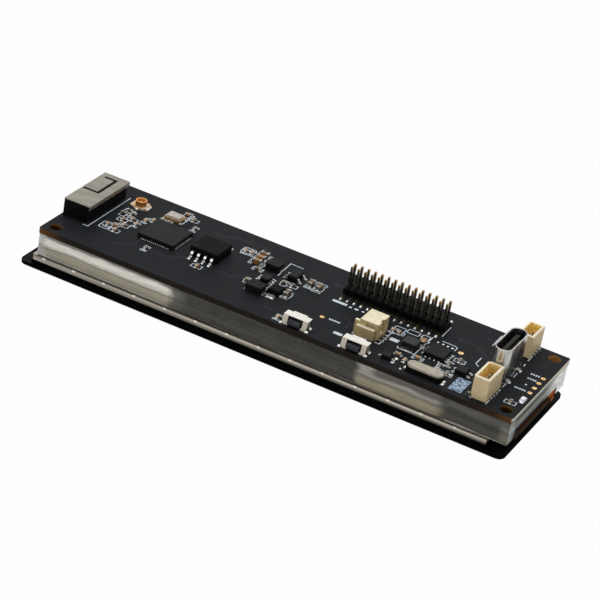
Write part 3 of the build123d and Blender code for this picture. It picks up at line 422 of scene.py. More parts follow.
def clear_plastic_end():
    """The same plastic on its right end: layered and dark in front, with painted light where one sees through
    it.
    """
    material, tree = shader("clear_plastic_end", specular=0)
    cloud = noise(tree, 2.2, (1, 1, 0.35), 4)
    height = wavering(tree, "Z", cloud, 0.2)
    across = wavering(tree, "Y", cloud, 0.6)
    layers = ramp(height, SPACER_END_LAYERS)
    end = blend(ramp(across, SPACER_END_LIGHT_THROUGH), layers, (244, 246, 240))
    # Painted glints through the metallic value, along Y.
    shine = combine(ramp(across, SPACER_END_SHINE), span(cloud, 1, 0.4), "MULTIPLY")
    return dress(material, flecked(cloud, 0.3, end, (120, 122, 120)), cloud, (0.1, 0.25), cloud, 0.03,
                 metallic=shine)


def bezel_sheet_metal():
    """Pressed steel with light and shade painted up its wall, changing from left to right: darker towards the
    glass as a painted reflection of it, brown painted shade in the seam under its top edge, bright on the
    lugs.
    """
    material, tree = shader("bezel_steel", metallic=0.85)
    lengthwise = (6, 1, 1)
    cloud = noise(tree, 2, lengthwise)
    # Painted light and shade up the wall on the left and on the right: a painted reflection of the dark glass
    # at the foot, painted shade in the seam under the top edge.
    left = bands(tree, "Z", [(1.45, 128, 122, 111), (1.65, 184, 177, 164), (1.8, 166, 160, 147),
                             (2.24, 112, 107, 99), (2.31, 96, 84, 74), (2.45, 84, 72, 63)])
    right = bands(tree, "Z", [(1.45, 20, 19, 17), (1.65, 86, 81, 73), (1.8, 124, 118, 108),
                              (2.24, 214, 206, 193), (2.31, 122, 108, 96), (2.45, 96, 83, 73)])
    rightward = bands(tree, "X", [(-44, 0), (-38, 0.45), (-20, 0.7), (24, 1)])
    half_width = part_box("backlight_bezel")[1].y / MM
    off_middle = combine(place_along(tree, "Y"), 0, "ABSOLUTE")
    lugs = span(off_middle, 0, 1, half_width - 0.09, half_width - 0.05)
    wall = blend(lugs, blend(rightward, left, right), (232, 226, 216))
    tone = blend(facing(tree, "Z", 0.5, 0.8), wall, (168, 162, 150))
    return dress(material, flecked(cloud, 0.3, tone, (110, 104, 92)), cloud, (0.3, 0.45),
                 noise(tree, 0.3, lengthwise, 2), 0.008)


def tape_film():
    """Black foam tape with a grey cut edge, which has a painted highlight near the right corner."""
    material, tree = shader("spacer_tape", specular=0.05)
    foam = noise(tree, 0.4)
    # The cut edge grows pale towards the right corner: a painted highlight.
    edge = bands(tree, "X", [(-46, 52, 48, 44), (30, 56, 52, 48), (40, 110, 104, 96), (46, 176, 170, 160)])
    tone = flecked(foam, 0.3, blend(facing(tree, "Z", 0.5, 0.8), edge, (15, 15, 16)), (24, 23, 22))
    return dress(material, tone, foam, (0.7, 0.85), noise(tree, 0.1), 0.01)


def glass_side():
    """The cover's cut side: near black, with a thin band of teal light along its lower edge."""
    material, tree = shader("glass_edge", specular=0)
    cloud = noise(tree, 1.5)
    tone = bands(tree, "Z", [(0, 62, 98, 102), (0.12, 66, 108, 112), (0.22, 9, 14, 15), (0.7, 5, 8, 9)])
    return dress(material, flecked(cloud, 0.3, tone, (4, 6, 7)), cloud, (0.12, 0.2), cloud, 0.003)


def flex_film():
    """Brown film over copper tracks that run along it, with painted shade towards its lower and upper edges,
    and two bare bright patches near its back edge.
    """
    material, tree = shader("flex_film", specular=0)
    lanes = tree.nodes.new("ShaderNodeTexWave")
    lanes.bands_direction = "Y"
    lanes.inputs["Scale"].default_value = 0.5
    link(coordinates(tree, 0.5), lanes.inputs["Vector"])
    tracks = lanes.outputs["Fac"]
    across = place_along(tree, "Y")
    up = place_along(tree, "Z")
    # The brown darkens towards the bottom and the top: painted shade.
    brown = ramp(up, [(1.4, 34, 36, 38), (2, 74, 70, 62), (2.4, 84, 68, 54), (2.8, 74, 52, 36),
                      (3.4, 52, 36, 26), (4.2, 32, 29, 28)])
    covered = blend(span(tracks, 0, 0.5, 0, 1), brown, (34, 22, 15))
    upper = combine(span(across, 0, 1, 5.4, 5.8), span(up, 0, 1, 2.95, 3.05), "MINIMUM")
    lower = combine(span(across, 0, 1, 6.9, 7.2), span(up, 1, 0, 2.55, 2.65), "MINIMUM")
    tone = blend(combine(upper, lower, "MAXIMUM"), covered, (198, 106, 56))
    return dress(material, tone, noise(tree, 0.8), (0.25, 0.4), tracks, 0.01)


def chip_ceramic():
    """Chip bodies whose colour changes from part to part, from tan to dark brown."""
    material, tree = shader("chip_ceramic", specular=0.35)
    parts = noise(tree, 5.5, detail=0)
    base = blend(span(parts, 0, 1, 0.42, 0.6), (94, 72, 44), (198, 146, 90))
    tone = flecked(noise(tree, 0.12), 0.3, base, (30, 24, 20))
    return dress(material, tone, parts, (0.35, 0.5), noise(tree, 0.1), 0.006)


def header_metal():
    """Gold-plated square pins: a painted highlight at the tips, dark between as a painted reflection of the
    dark board, brown at the foot.
    """
    material, tree = shader("header_pins", metallic=1)
    up = place_along(tree, "Z")
    board = BOARD_TOP / MM
    streaks = noise(tree, 0.35, (1, 1, 2.5))
    # The dark shank is a painted reflection of the dark board.
    shank = blend(span(streaks, 0, 1), (44, 42, 36), (92, 86, 70))
    # A painted highlight at the tips.
    tip = blend(span(up, 0, 1, board + 4.3, board + 5.2), shank, (176, 146, 100))
    tone = blend(span(up, 1, 0, board + 0.14, board + 0.2), tip, (116, 92, 58))
    return dress(material, tone, streaks, (0.22, 0.4), streaks, 0.006)


def gull_wing_tin():
    """Bent leads: painted highlights at the shoulder and the foot, painted shade on the slope between."""
    material, tree = shader("bent_leads", metallic=1)
    cloud = noise(tree, 0.3)
    # Painted highlights on the shoulder and the foot, painted shade on the slope.
    above_board = [(0, 214, 214, 208), (0.24, 200, 200, 196), (0.34, 58, 58, 56), (0.58, 64, 64, 62),
                   (0.66, 226, 226, 220), (1.6, 236, 236, 230)]
    tone = bands(tree, "Z", [(BOARD_TOP / MM + height, *colour) for height, *colour in above_board])
    return dress(material, flecked(cloud, 0.25, tone, (120, 120, 116)), cloud, (0.25, 0.4), cloud, 0.01)


def patch_print():
    """Irregular small cells of pale blue ink, standing for a printed code."""
    material, tree = shader("printed_patch", specular=0.2)
    cells = tree.nodes.new("ShaderNodeTexVoronoi")
    cells.distance = "CHEBYCHEV"
    cells.inputs["Scale"].default_value = 1.0
    link(coordinates(tree, 0.3), cells.inputs["Vector"])
    parts = tree.nodes.new("ShaderNodeSeparateColor")
    link(cells.outputs["Color"], parts.inputs["Color"])
    inked = span(parts.outputs["Red"], 0, 1, 0.42, 0.52)
    tone = blend(inked, (70, 84, 100), (158, 180, 202))
    return dress(material, tone, noise(tree, 0.3), (0.6, 0.8), inked, 0.004)


# Each finish: its tones, its grain, its roughness, its relief and the relief's grain
METAL = {"metallic": 1}
mask = finish("solder_mask", (21, 22, 25), (26, 28, 32), 2.5, (0.5, 0.62), 0.003, 0.12, specular=0.06)
track_mask = finish("mask_over_copper", (30, 32, 35), (37, 39, 43), 1.5, (0.45, 0.55), 0.003, 0.12,
                    specular=0.1)
laminate = fibreglass()
hole_wall = bored_wall()
white_ink = finish("white_ink", (176, 190, 202), (226, 232, 238), 0.35, (0.6, 0.8), 0.006, 0.08, specular=0.2)
patch_ink = patch_print()
solder = finish("solder", (112, 114, 112), (214, 214, 208), 0.3, (0.2, 0.4), 0.02, 0.2, **METAL)
tin = finish("tinned_leads", (126, 127, 126), (204, 204, 199), 0.3, (0.22, 0.4), 0.008, 0.12, **METAL)
cap_tin = finish("capacitor_tin", (96, 93, 86), (184, 180, 168), 0.3, (0.3, 0.45), 0.008, 0.12, **METAL)
# Tin darkened as painted shade, for leads, contacts, pads and solder that lie in shade.
shaded_tin = finish("shaded_tin", (58, 58, 56), (112, 112, 108), 0.3, (0.4, 0.55), 0.008, 0.12, **METAL)
bent_tin = gull_wing_tin()
gold = finish("gold_plating", (206, 162, 100), (244, 212, 158), 0.4, (0.2, 0.36), 0.006, 0.12, **METAL)
# These finishes take a top tone and a darker side tone: the side tone is painted shade.
chip_black = lit_from_above("chip_moulding", (33, 34, 36), (10, 10, 11), (50, 51, 53), 0.22, (0.5, 0.66), 0.012,
                        specular=0.06)
chip_dark = lit_from_above("chip_moulding_dark", (17, 17, 18), (6, 6, 7), (34, 34, 35), 0.22, (0.5, 0.66), 0.012,
                       specular=0.03)
ferrite = lit_from_above("ferrite", (30, 30, 31), (6, 6, 7), (62, 62, 64), 0.16, (0.4, 0.7), 0.02, specular=0.05)
ferrite_grey = lit_from_above("ferrite_grey", (56, 56, 58), (12, 12, 13), (86, 86, 88), 0.16, (0.4, 0.7), 0.02,
                          specular=0.06)
black_nylon = finish("black_nylon", (9, 9, 10), (15, 15, 16), 0.5, (0.45, 0.6), 0.008, 0.12, specular=0.04)
cream_nylon = lit_from_above("cream_nylon", (248, 240, 218), (234, 212, 168), (160, 136, 92), specular=0.25)
battery_nylon = lit_from_above("battery_nylon", (240, 232, 204), (204, 182, 134), (150, 126, 84), specular=0.25)
# Inside the sockets: a warm orange tone that paints the light coming through the nylon walls, on top of real
# scattering under the surface.
cream_inside = finish("cream_inside", (234, 190, 122), (250, 220, 164), 0.5, (0.5, 0.6), 0.01, 0.15,
                      specular=0.2, subsurface=1, subsurface_scale=1.5 * MM,
                      subsurface_radius=(1, 0.85, 0.6))
ring_gold = lit_from_above("coax_gold", (226, 168, 96), (146, 104, 54), (120, 80, 40), 0.35, (0.4, 0.52), 0.006,
                       metallic=0.7)
# Inside the coax ring: a paler tan that paints the light on its inner wall and floor.
ring_inside = finish("coax_inside", (206, 148, 80), (232, 178, 106), 0.3, (0.45, 0.55), 0.006, 0.1,
                     metallic=0.3)
white_plastic = finish("white_plastic", (186, 182, 172), (210, 207, 198), 0.4, (0.4, 0.55), 0.006, 0.1,
                       specular=0.3)
plate_steel = finish("antenna_sheet", (128, 123, 112), (141, 136, 125), 1.6, (0.4, 0.48), 0.003, 0.07,
                     (3, 1, 1), metallic=0.85)
shell_steel = finish("shell_steel", (160, 160, 158), (200, 199, 194), 1.6, (0.2, 0.28), 0.001, 0.3, (1, 1, 4),
                     **METAL)
clip_steel = lit_from_above("clip_steel", (226, 224, 217), (190, 181, 166), (150, 138, 120), 0.5, (0.35, 0.5),
                        0.006, metallic=0.5)
plunger_grey = finish("plunger_plastic", (40, 42, 46), (56, 59, 64), 0.4, (0.4, 0.5), 0.006, 0.1,
                      specular=0.1)
can_steel = finish("clock_can", (156, 150, 136), (174, 168, 154), 0.9, (0.5, 0.6), 0.004, 0.1, metallic=0.3,
                   specular=0.1)
lid_metal = finish("crystal_lid", (158, 149, 140), (186, 177, 168), 0.7, (0.3, 0.42), 0.004, 0.1,
                   metallic=0.9)
rim_gold = finish("crystal_rim", (120, 88, 50), (190, 148, 92), 0.3, (0.3, 0.45), 0.004, 0.1, metallic=0.7)
bezel_steel = bezel_sheet_metal()
border_ink = finish("border_ink", (6, 6, 7), (10, 10, 11), 1.2, (0.5, 0.62), 0.002, 0.1, specular=0.05)
glass_edge = glass_side()
cell_glass = finish("cell_glass", (7, 8, 9), (12, 14, 15), 1.5, (0.3, 0.4), 0.003, 0.3, specular=0)
milky = finish("light_guide", (214, 216, 214), (236, 238, 236), 1, (0.3, 0.4), 0.004, 0.2, specular=0.4)
tape_black = tape_film()
spacer_clear = clear_plastic()
spacer_end = clear_plastic_end()
bond_clear = finish("optical_bond", (210, 214, 214), (228, 232, 232), 1.5, (0.1, 0.2), 0.002, 0.3,
                    transmission=0.9, ior=1.47)
film = flex_film()
ceramic = chip_ceramic()
pin_metal = header_metal()
lamp_resin = finish("lamp_resin", (232, 238, 246), (250, 252, 255), 0.3, (0.2, 0.3), 0.004, 0.1, specular=0.5)
insert_black = finish("insert_black", (8, 8, 9), (15, 15, 16), 0.4, (0.35, 0.5), 0.006, 0.1, specular=0.15)

PAINTED = [
    (laminate, "main_board"), (glass_edge, "cover_glass"), (bond_clear, "optical_adhesive"),
    (cell_glass, "lcd_cell display_driver_chip"), (bezel_steel, "backlight_bezel"), (milky, "light_guide"),
    (film, "backlight_led_strip display_flex"), (tape_black, "spacer_tape"), (spacer_clear, "spacer_frame"),
    (plate_steel, "antenna_plate"), (white_plastic, "flex_connector coax_base"), (ring_gold, "coax_contacts"),
    (rim_gold, "crystal_base"), (lid_metal, "crystal_lid"), (can_steel, "clock_can"),
    (black_nylon, "antenna_carrier header_base clock_base left_button_base right_button_base"),
    (clip_steel, "left_button_cover right_button_cover"), (lamp_resin, "status_led"),
    (plunger_grey, "left_button_plunger right_button_plunger"), (cap_tin, "capacitor_ends"),
    (chip_black, "processor_chip charger_chip load_switch_chip regulator_chip small_chips"),
    (chip_dark, "flash_chip rectifier_body"), (bent_tin, "flash_leads"),
    (tin, "processor_leads charger_leads rectifier_tabs regulator_leads small_chip_leads"),
    (tin, "battery_socket_contacts"),
    # Inductor ends and socket contacts take the tin darkened as painted shade.
    (shaded_tin, "inductor_ends front_socket_contacts back_socket_contacts"), (ferrite_grey, "charge_inductor"),
    (ferrite, "power_inductor boost_inductor"), (ceramic, "capacitor_bodies resistor_bodies"),
    (solder, "resistor_ends"), (pin_metal, "header_pins"),
    (battery_nylon, "battery_socket_housing"), (cream_nylon, "front_socket_housing back_socket_housing"),
    (shell_steel, "usb_shell"), (insert_black, "usb_insert"), (gold, "usb_contacts")]
NODE_MATERIALS = {node: material for material, nodes in PAINTED for node in nodes.split()}


def paint(node, material, *others):
    """Gives a CAD node its material, and each of the others to the faces that its chosen() picks."""
    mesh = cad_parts[node].data
    mesh.materials.clear()
    for each in (material, *[other for other, chosen in others]):
        mesh.materials.append(each)
    for polygon in mesh.polygons:
        slots = [i + 1 for i, (other, chosen) in enumerate(others) if chosen(polygon)]
        polygon.material_index = max(slots, default=0)


def in_screw_hole(face):
    """True for the wall of one of the four corner holes."""
    x, y, z = face.center
    from_end = min(x - board_low.x, board_high.x - x)
    from_side = min(y - board_low.y, board_high.y - y)
    off_centre = math.hypot(from_end - HOLE_INSET, from_side - HOLE_INSET)
    return abs(face.normal.z) < 0.1 and off_centre < HOLE_REACH


def paint_nodes():
    """Gives each CAD node its material, and some nodes a second one on part of their faces."""
    socket_wall = 0.35 * MM
    coax_ring_radius = 0.86 * MM
    contact_shade_top = BOARD_TOP + 0.6 * MM
    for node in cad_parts:
        paint(node, NODE_MATERIALS[node])
    paint("main_board", laminate, (mask, lambda face: abs(face.normal.z) > 0.9), (hole_wall, in_screw_hole))
    paint("spacer_frame", spacer_clear, (spacer_end, lambda face: face.normal.x > 0.8),
          (hole_wall, in_screw_hole))
    paint("cover_glass", glass_edge, (border_ink, lambda face: face.normal.z > 0.9))
    # The faces inside each socket take the orange tone that paints light coming through the nylon.
    for node in ("front_socket_housing", "back_socket_housing"):
        low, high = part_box(node)

        def inside(face):
            x, y, z = face.center
            return (low.x + socket_wall < x < high.x - socket_wall
                    and low.y + socket_wall < y < high.y - socket_wall and z > low.z + socket_wall)

        paint(node, cream_nylon, (cream_inside, inside))
    middle = centre_of(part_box("coax_base"))

    def in_ring(face):
        off_middle = math.hypot(face.center.x - middle.x, face.center.y - middle.y)
        return off_middle < coax_ring_radius and face.normal.z > -0.5

    # Faces inside the ring take the paler tan as painted light.
    paint("coax_base", white_plastic, (ring_inside, in_ring))
    paint("coax_contacts", ring_gold, (ring_inside, in_ring))
    # Socket contacts: tin above that height, and below it tin darkened as painted shade.
    for node in ("front_socket_contacts", "back_socket_contacts"):
        paint(node, shaded_tin, (tin, lambda face: face.center.z > contact_shade_top))


# Meshes
def new_object(name, data):
    obj = bpy.data.objects.new(name, data)
    bpy.context.scene.collection.objects.link(obj)
    return obj


def mesh_object(name, bm, material):
    """Turns a bmesh into an object with one material."""
    mesh = bpy.data.meshes.new(name)
    bm.to_mesh(mesh)
    bm.free()
    mesh.materials.append(material)
    return new_object(name, mesh)


def piece(name, bm, material, body="module", rounded=False):
    """Turns a bmesh into a named piece of the object that moves with one body."""
    bmesh.ops.recalc_face_normals(bm, faces=bm.faces)
    obj = mesh_object(name, bm, material)
    for polygon in obj.data.polygons:
        polygon.use_smooth = rounded
    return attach(obj, body)


def circle(x, y, radius, steps):
    """Points round a circle."""
    angles = [2 * math.pi * i / steps for i in range(steps)]
    return [(x + radius * math.cos(angle), y + radius * math.sin(angle)) for angle in angles]


def bridge(bm, first, second):
    """Faces between two closed rows of points."""
    for i in range(len(first)):
        j = (i + 1) % len(first)
        bm.faces.new((first[i], first[j], second[j], second[i]))


def prism(bm, outline, low, high):
    """A flat plate over a closed outline of (x, y) points."""
    bottom = [bm.verts.new((x, y, low)) for x, y in outline]
    top = [bm.verts.new((x, y, high)) for x, y in outline]
    bm.faces.new(top)
    bm.faces.new(bottom[::-1])
    bridge(bm, bottom, top)


def rounded_box(bm, x0, x1, y0, y1, rise, corner):
    """A thin plate on the board with rounded corners."""
    corner = min(corner, (x1 - x0) / 2, (y1 - y0) / 2)
    outline = []
    for cx, cy, start in ((x1 - corner, y1 - corner, 0), (x0 + corner, y1 - corner, 90),
                          (x0 + corner, y0 + corner, 180), (x1 - corner, y0 + corner, 270)):
        for turn in (0, 30, 60, 90):
            angle = math.radians(start + turn)
            outline.append((cx + corner * math.cos(angle), cy + corner * math.sin(angle)))
    prism(bm, outline, BOARD_TOP, BOARD_TOP + rise)


def disc(bm, centre, radius, rise):
    """A round plate on the board."""
    prism(bm, circle(centre.x, centre.y, radius, 24), BOARD_TOP, BOARD_TOP + rise)


def ring(bm, centre, inner, outer, rise):
    """A low ring on the board, highest along its middle."""
    middle, shoulder = (inner + outer) / 2, 0.7 * rise
    rows = []
    for radius, lift in ((inner, 0), (inner, shoulder), (middle, rise), (outer, shoulder), (outer, 0)):
        points = circle(centre.x, centre.y, radius, 20)
        rows.append([bm.verts.new((x, y, BOARD_TOP + lift)) for x, y in points])
    for first, second in zip(rows, rows[1:] + rows[:1]):
        bridge(bm, first, second)


def ribbon(bm, points, width, rise):
    """A printed line or covered track along a path, mitred at its corners."""
    half = width / 2
    sharpest = 0.4
    left, right = [], []
    for i, point in enumerate(points):
        before = (point - points[i - 1]).normalized() if i > 0 else None
        after = (points[i + 1] - point).normalized() if i + 1 < len(points) else None
        leg = after or before
        run = (before + after).normalized() if before and after else leg
        across = Vector((-run.y, run.x, 0))
        reach = half / max(sharpest, across.dot(Vector((-leg.y, leg.x, 0))))
        cap = Vector((0, 0, 0))
        if before is None:
            cap = -run * half
        elif after is None:
            cap = run * half
        left.append(point + across * reach + cap)
        right.append(point - across * reach + cap)
    prism(bm, [(p.x, p.y) for p in left + right[::-1]], BOARD_TOP, BOARD_TOP + rise)


def dome(bm, centre, half_x, half_y, height, steps=16, rings=4):
    """A blob of solder on a soft-cornered footprint."""
    squareness = 0.65
    rows = []
    for k in range(rings):
        climb = math.pi / 2 * k / rings
        row = []
        for i in range(steps):
            angle = 2 * math.pi * i / steps
            c, s = math.cos(angle), math.sin(angle)
            x = math.copysign(abs(c) ** squareness, c) * half_x * math.cos(climb)
            y = math.copysign(abs(s) ** squareness, s) * half_y * math.cos(climb)
            row.append(bm.verts.new((centre.x + x, centre.y + y, centre.z + height * math.sin(climb))))
        rows.append(row)
    for first, second in zip(rows, rows[1:]):
        bridge(bm, first, second)
    bm.faces.new(rows[0][::-1])
    peak = bm.verts.new((centre.x, centre.y, centre.z + height))
    for i in range(steps):
        bm.faces.new((rows[-1][i], rows[-1][(i + 1) % steps], peak))


def meniscus(bm, base, out, width, reach, height, runs=5, lanes=6):
    """Solder drawn up against a lead's end: steep at the lead, thin at its outer rim."""
    splay = 0.15
    rounding = 0.12
    across = Vector((-out.y, out.x, 0))
    grid = []
    for i in range(runs + 1):
        far = i / runs
        row = []
        for k in range(lanes + 1):
            side = 2 * k / lanes - 1
            lift = height * (1 - far) ** 2 * math.sqrt(max(0.0, 1 - side ** 4))
            spread = width / 2 * (1 + splay * far) * side
            forward = out * reach * far * (1 - rounding * side * side)
            row.append(bm.verts.new(base + forward + across * spread + Vector((0, 0, lift))))
        grid.append(row)
    for first, second in zip(grid, grid[1:]):
        for a, b, c, d in zip(first, first[1:], second[1:], second):
            bm.faces.new((a, b, c, d))
    bm.faces.new(grid[0][::-1])
    rim = [row[0] for row in grid] + grid[-1][1:-1] + [row[-1] for row in grid[::-1]]
    bm.faces.new(rim[::-1])


def to_micron(point):
    return tuple(round(c, 6) for c in point)


def solids(node):
    """The boxes, lowest and highest corner, of a CAD node's separate solids."""
    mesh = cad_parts[node].data
    spots = {}
    index = [spots.setdefault(to_micron(v.co), len(spots)) for v in mesh.vertices]
    root = list(range(len(spots)))

    def find(i):
        while root[i] != i:
            root[i] = root[root[i]]
            i = root[i]
        return i

    for polygon in mesh.polygons:
        first = find(index[polygon.vertices[0]])
        for v in polygon.vertices[1:]:
            root[find(index[v])] = first
    groups = {}
    for v, i in zip(mesh.vertices, index):
        groups.setdefault(find(i), []).append(v.co)
    boxes = [[Vector([pick(co[k] for co in group) for k in range(3)]) for pick in (min, max)]
             for group in groups.values()]
    return sorted(boxes, key=lambda box: to_micron(box[0]))


def centre_of(box):
    return (box[0] + box[1]) / 2


def outward_from(box, body):
    """The way a lead points out of its body's box."""
    middle = centre_of(box)
    steps = {(-1, 0): body[0].x - middle.x, (1, 0): middle.x - body[1].x,
             (0, -1): body[0].y - middle.y, (0, 1): middle.y - body[1].y}
    return Vector((*max(steps, key=steps.get), 0))


def solder_lead(joints, pads, box, out, reach, height, grow):
    """A pad under a lead that runs out past its tip, and the solder on it."""
    deepest = 0.8 * MM
    low, high = box
    middle = centre_of(box)
    axis, other = (0, 1) if out.x else (1, 0)
    tip = Vector((middle.x, middle.y, BOARD_TOP))
    tip[axis] = high[axis] if out[axis] > 0 else low[axis]
    width = high[other] - low[other]
    inner = tip - out * min(high[axis] - low[axis], deepest)
    outer = tip + out * (reach + grow)
    half = width / 2 + grow
    edges = [sorted((inner[axis], outer[axis])), (middle[other] - half, middle[other] + half)]
    rounded_box(pads, *edges[axis], *edges[other], PAD_RISE, 0.08 * MM)
    meniscus(joints, tip, out, width + grow, reach, height)


def solder_group(name, leads_and_bodies, reach, height, grow, metal=solder, plate=tin):
    """Pads and solder for leads: how far the solder reaches out past a lead, how high it climbs and how far
    the pad shows round the lead, in millimetres."""
    clear_of_board = BOARD_TOP + 0.1 * MM
    highest_share = 0.9
    joints, pads = bmesh.new(), bmesh.new()
    for leads, bodies in leads_and_bodies.items():
        body_boxes = [box for body in bodies for box in solids(body)]
        for box in solids(leads):
            if box[0].z > clear_of_board:
                continue
            middle = centre_of(box)
            body = min(body_boxes, key=lambda b: (centre_of(b) - middle).length)
            climb = min(height * MM, (box[1].z - BOARD_TOP) * highest_share)
            solder_lead(joints, pads, box, outward_from(box, body), reach * MM, climb, grow * MM)
    piece(name + "_solder", joints, metal, rounded=True)
    piece(name + "_pads", pads, plate)


def add_solder():
    """Solder and pads at the leads of every kind of part."""
    solder_group("chip_part", {"resistor_ends": ["resistor_bodies"], "capacitor_ends": ["capacitor_bodies"]},
                 reach=0.2, height=0.2, grow=0.06)
    solder_group("processor", {"processor_leads": ["processor_chip"]}, reach=0.12, height=0.1, grow=0.02)
    solder_group("charger", {"charger_leads": ["charger_chip"]}, reach=0.16, height=0.1, grow=0.04)
    solder_group("flash", {"flash_leads": ["flash_chip"]}, reach=0.4, height=0.2, grow=0.06)
    solder_group("power", {"regulator_leads": ["regulator_chip"], "rectifier_tabs": ["rectifier_body"],
                           "small_chip_leads": ["small_chips", "load_switch_chip"]},
                 reach=0.26, height=0.2, grow=0.06)
    solder_group("inductor", {"inductor_ends": ["power_inductor", "boost_inductor", "charge_inductor"]},
                 reach=0.14, height=0.12, grow=0.03)
    # Solder and pads at the sockets take tin darkened as painted shade.
    solder_group("socket", {"front_socket_contacts": ["front_socket_housing"],
                            "back_socket_contacts": ["back_socket_housing"]},
                 reach=0.14, height=0.12, grow=0.02, metal=shaded_tin, plate=shaded_tin)
    solder_group("battery_socket", {"battery_socket_contacts": ["battery_socket_housing"]},
                 reach=0.14, height=0.12, grow=0.02)


def add_header_solder():
    """A pad and a blob of solder at the end of each header pin's foot."""
    inset = 0.2 * MM
    half_x, half_y = 0.3 * MM, 0.5 * MM
    blobs, pads = bmesh.new(), bmesh.new()
    base_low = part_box("header_base")[0]
    for low, high in solids("header_pins"):
        x = (low.x + high.x) / 2
        tip = low.y + inset if low.y < base_low.y else high.y - inset
        rounded_box(pads, x - half_x, x + half_x, tip - half_y, tip + half_y, PAD_RISE, 0.1 * MM)
        dome(blobs, Vector((x, tip, BOARD_TOP + PAD_RISE * 0.5)), *[size * MM for size in HEADER_BLOB])
    piece("header_solder", blobs, solder, rounded=True)
    # The pads take tin darkened as painted shade.
    piece("header_pads", pads, shaded_tin)


def add_blobs():
    """Solder at the feet of the clips, coax socket, USB shell, clock, crystal and lamp, and bare joints."""
    blobs = bmesh.new()

    def blob(x, y, half_x, half_y, height):
        dome(blobs, Vector((x, y, BOARD_TOP)), half_x * MM, half_y * MM, height * MM)

    for side in ("left", "right"):
        low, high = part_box(side + "_button_cover")
        for x, outward in ((low.x, -1), (high.x, 1)):
            blob(x + outward * 0.1 * MM, low.y + 0.1 * MM, *CLIP_FRONT_BLOB)
            blob(x + outward * 0.15 * MM, high.y - 0.9 * MM, *CLIP_BACK_BLOB)
    coax_grow = 0.12
    for low, high in solids("coax_contacts"):
        if high.z < BOARD_TOP + 0.4 * MM:
            middle = centre_of((low, high))
            half_x, half_y = (high.x - low.x) / 2 / MM, (high.y - low.y) / 2 / MM
            blob(middle.x, middle.y, half_x + coax_grow, half_y + coax_grow, 0.32)
    low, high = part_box("usb_shell")
    for x in (low.x, high.x):
        for share in (0.24, 0.76):
            blob(x, low.y + (high.y - low.y) * share, *SHELL_BLOB)
    low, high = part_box("clock_base")
    for x, y in ((low.x - 0.1 * MM, high.y - 1.1 * MM), (high.x + 0.1 * MM, high.y - 1.1 * MM),
                 (high.x + 0.2 * MM, low.y + 0.4 * MM)):
        blob(x, y, *CLOCK_BLOB)
    low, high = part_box("crystal_base")
    for x in (low.x, high.x):
        for y in (low.y + 0.3 * MM, high.y - 0.3 * MM):
            blob(x, y, *CRYSTAL_BLOB)
    for x, y, radius in SOLDER_DOTS:
        dome(blobs, place(x, y), radius * MM, radius * MM, radius * 0.6 * MM)
    low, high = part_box("status_led")
    for y in (low.y, high.y):
        blob((low.x + high.x) / 2, y, *LAMP_BLOB)
    piece("foot_solder", blobs, solder, rounded=True)


def printed_plate(bm, x0, x1, y0, y1, corner):
    """A plate of ink with rounded corners, in millimetres from the board's middle."""
    low, high = place(x0, y0), place(x1, y1)
    rounded_box(bm, low.x, high.x, low.y, high.y, INK_RISE, corner * MM)


def printed_box(bm, x0, x1, y0, y1):
    """A printed rectangle, made of four lines that meet at its corners."""
    corners = [place(x0, y0), place(x1, y0), place(x1, y1), place(x0, y1)]
    for i in range(4):
        ribbon(bm, [corners[i], corners[(i + 1) % 4]], INK_WIDTH, INK_RISE)


def printed_brackets(bm, low, high):
    """Two printed brackets round the ends and part of the long sides of a chip part."""
    size_x, size_y = high.x - low.x, high.y - low.y
    long_half, short_half = SMALL_BRACKETS if max(size_x, size_y) < SMALL_PART else LARGE_BRACKETS
    middle = centre_of((low, high))
    for side in (-1, 1):
        outline = []
        for along, across in ((BRACKET_START, -1), (1, -1), (1, 1), (BRACKET_START, 1)):
            a, c = side * along * long_half, across * short_half
            offset = Vector((a, c, 0)) if size_x > size_y else Vector((c, a, 0))
            outline.append(Vector((middle.x, middle.y, BOARD_TOP)) + offset)
        ribbon(bm, outline, BRACKET_WIDTH, INK_RISE)


def unframed(point):
    """True in the part of the board whose chip parts have no printed brackets."""
    x0, x1, y0, y1 = UNFRAMED
    low, high = place(x0, y0), place(x1, y1)
    return low.x < point.x < high.x and low.y < point.y < high.y


def add_print():
    """The white lines, the plain plates, the rows of dashes and the patch on the board."""
    ink = bmesh.new()
    for line in INK_LINES:
        ribbon(ink, [place(x, y) for x, y in line], INK_WIDTH, INK_RISE)
    for box in INK_BOXES:
        printed_box(ink, *box)
    for node in ("resistor_bodies", "capacitor_bodies"):
        for low, high in solids(node):
            if not unframed(centre_of((low, high))):
                printed_brackets(ink, low, high)
    piece("board_print", ink, white_ink)
    plates = bmesh.new()
    for box in INK_PLATES:
        printed_plate(plates, *box, 0.12)
    for x0, x1, y in DASHED_LABELS:
        for i in range(round((x1 - x0) / DASH_STEP)):
            start = x0 + i * DASH_STEP
            printed_plate(plates, start, start + DASH_LENGTH, y - DASH_HALF_WIDTH, y + DASH_HALF_WIDTH, 0.06)
    piece("board_print_plates", plates, white_ink)
    patch = bmesh.new()
    printed_plate(patch, *CODE_PATCH, 0.1)
    piece("board_print_patch", patch, patch_ink)


def add_copper():
    """Gold dots, covered tracks and small plated holes."""
    dots = bmesh.new()
    for x, y, radius in GOLD_DOTS:
        disc(dots, place(x, y), radius * MM, PAD_RISE)
    piece("gold_dots", dots, gold)
    tracks = bmesh.new()
    for line in TRACKS:
        ribbon(tracks, [place(x, y) for x, y in line], TRACK_WIDTH, TRACK_RISE)
    piece("covered_tracks", tracks, track_mask)
    vias = bmesh.new()
    for x, y in VIAS:
        ring(vias, place(x, y), VIA_INNER, VIA_OUTER, VIA_RISE)
    piece("covered_vias", vias, track_mask)


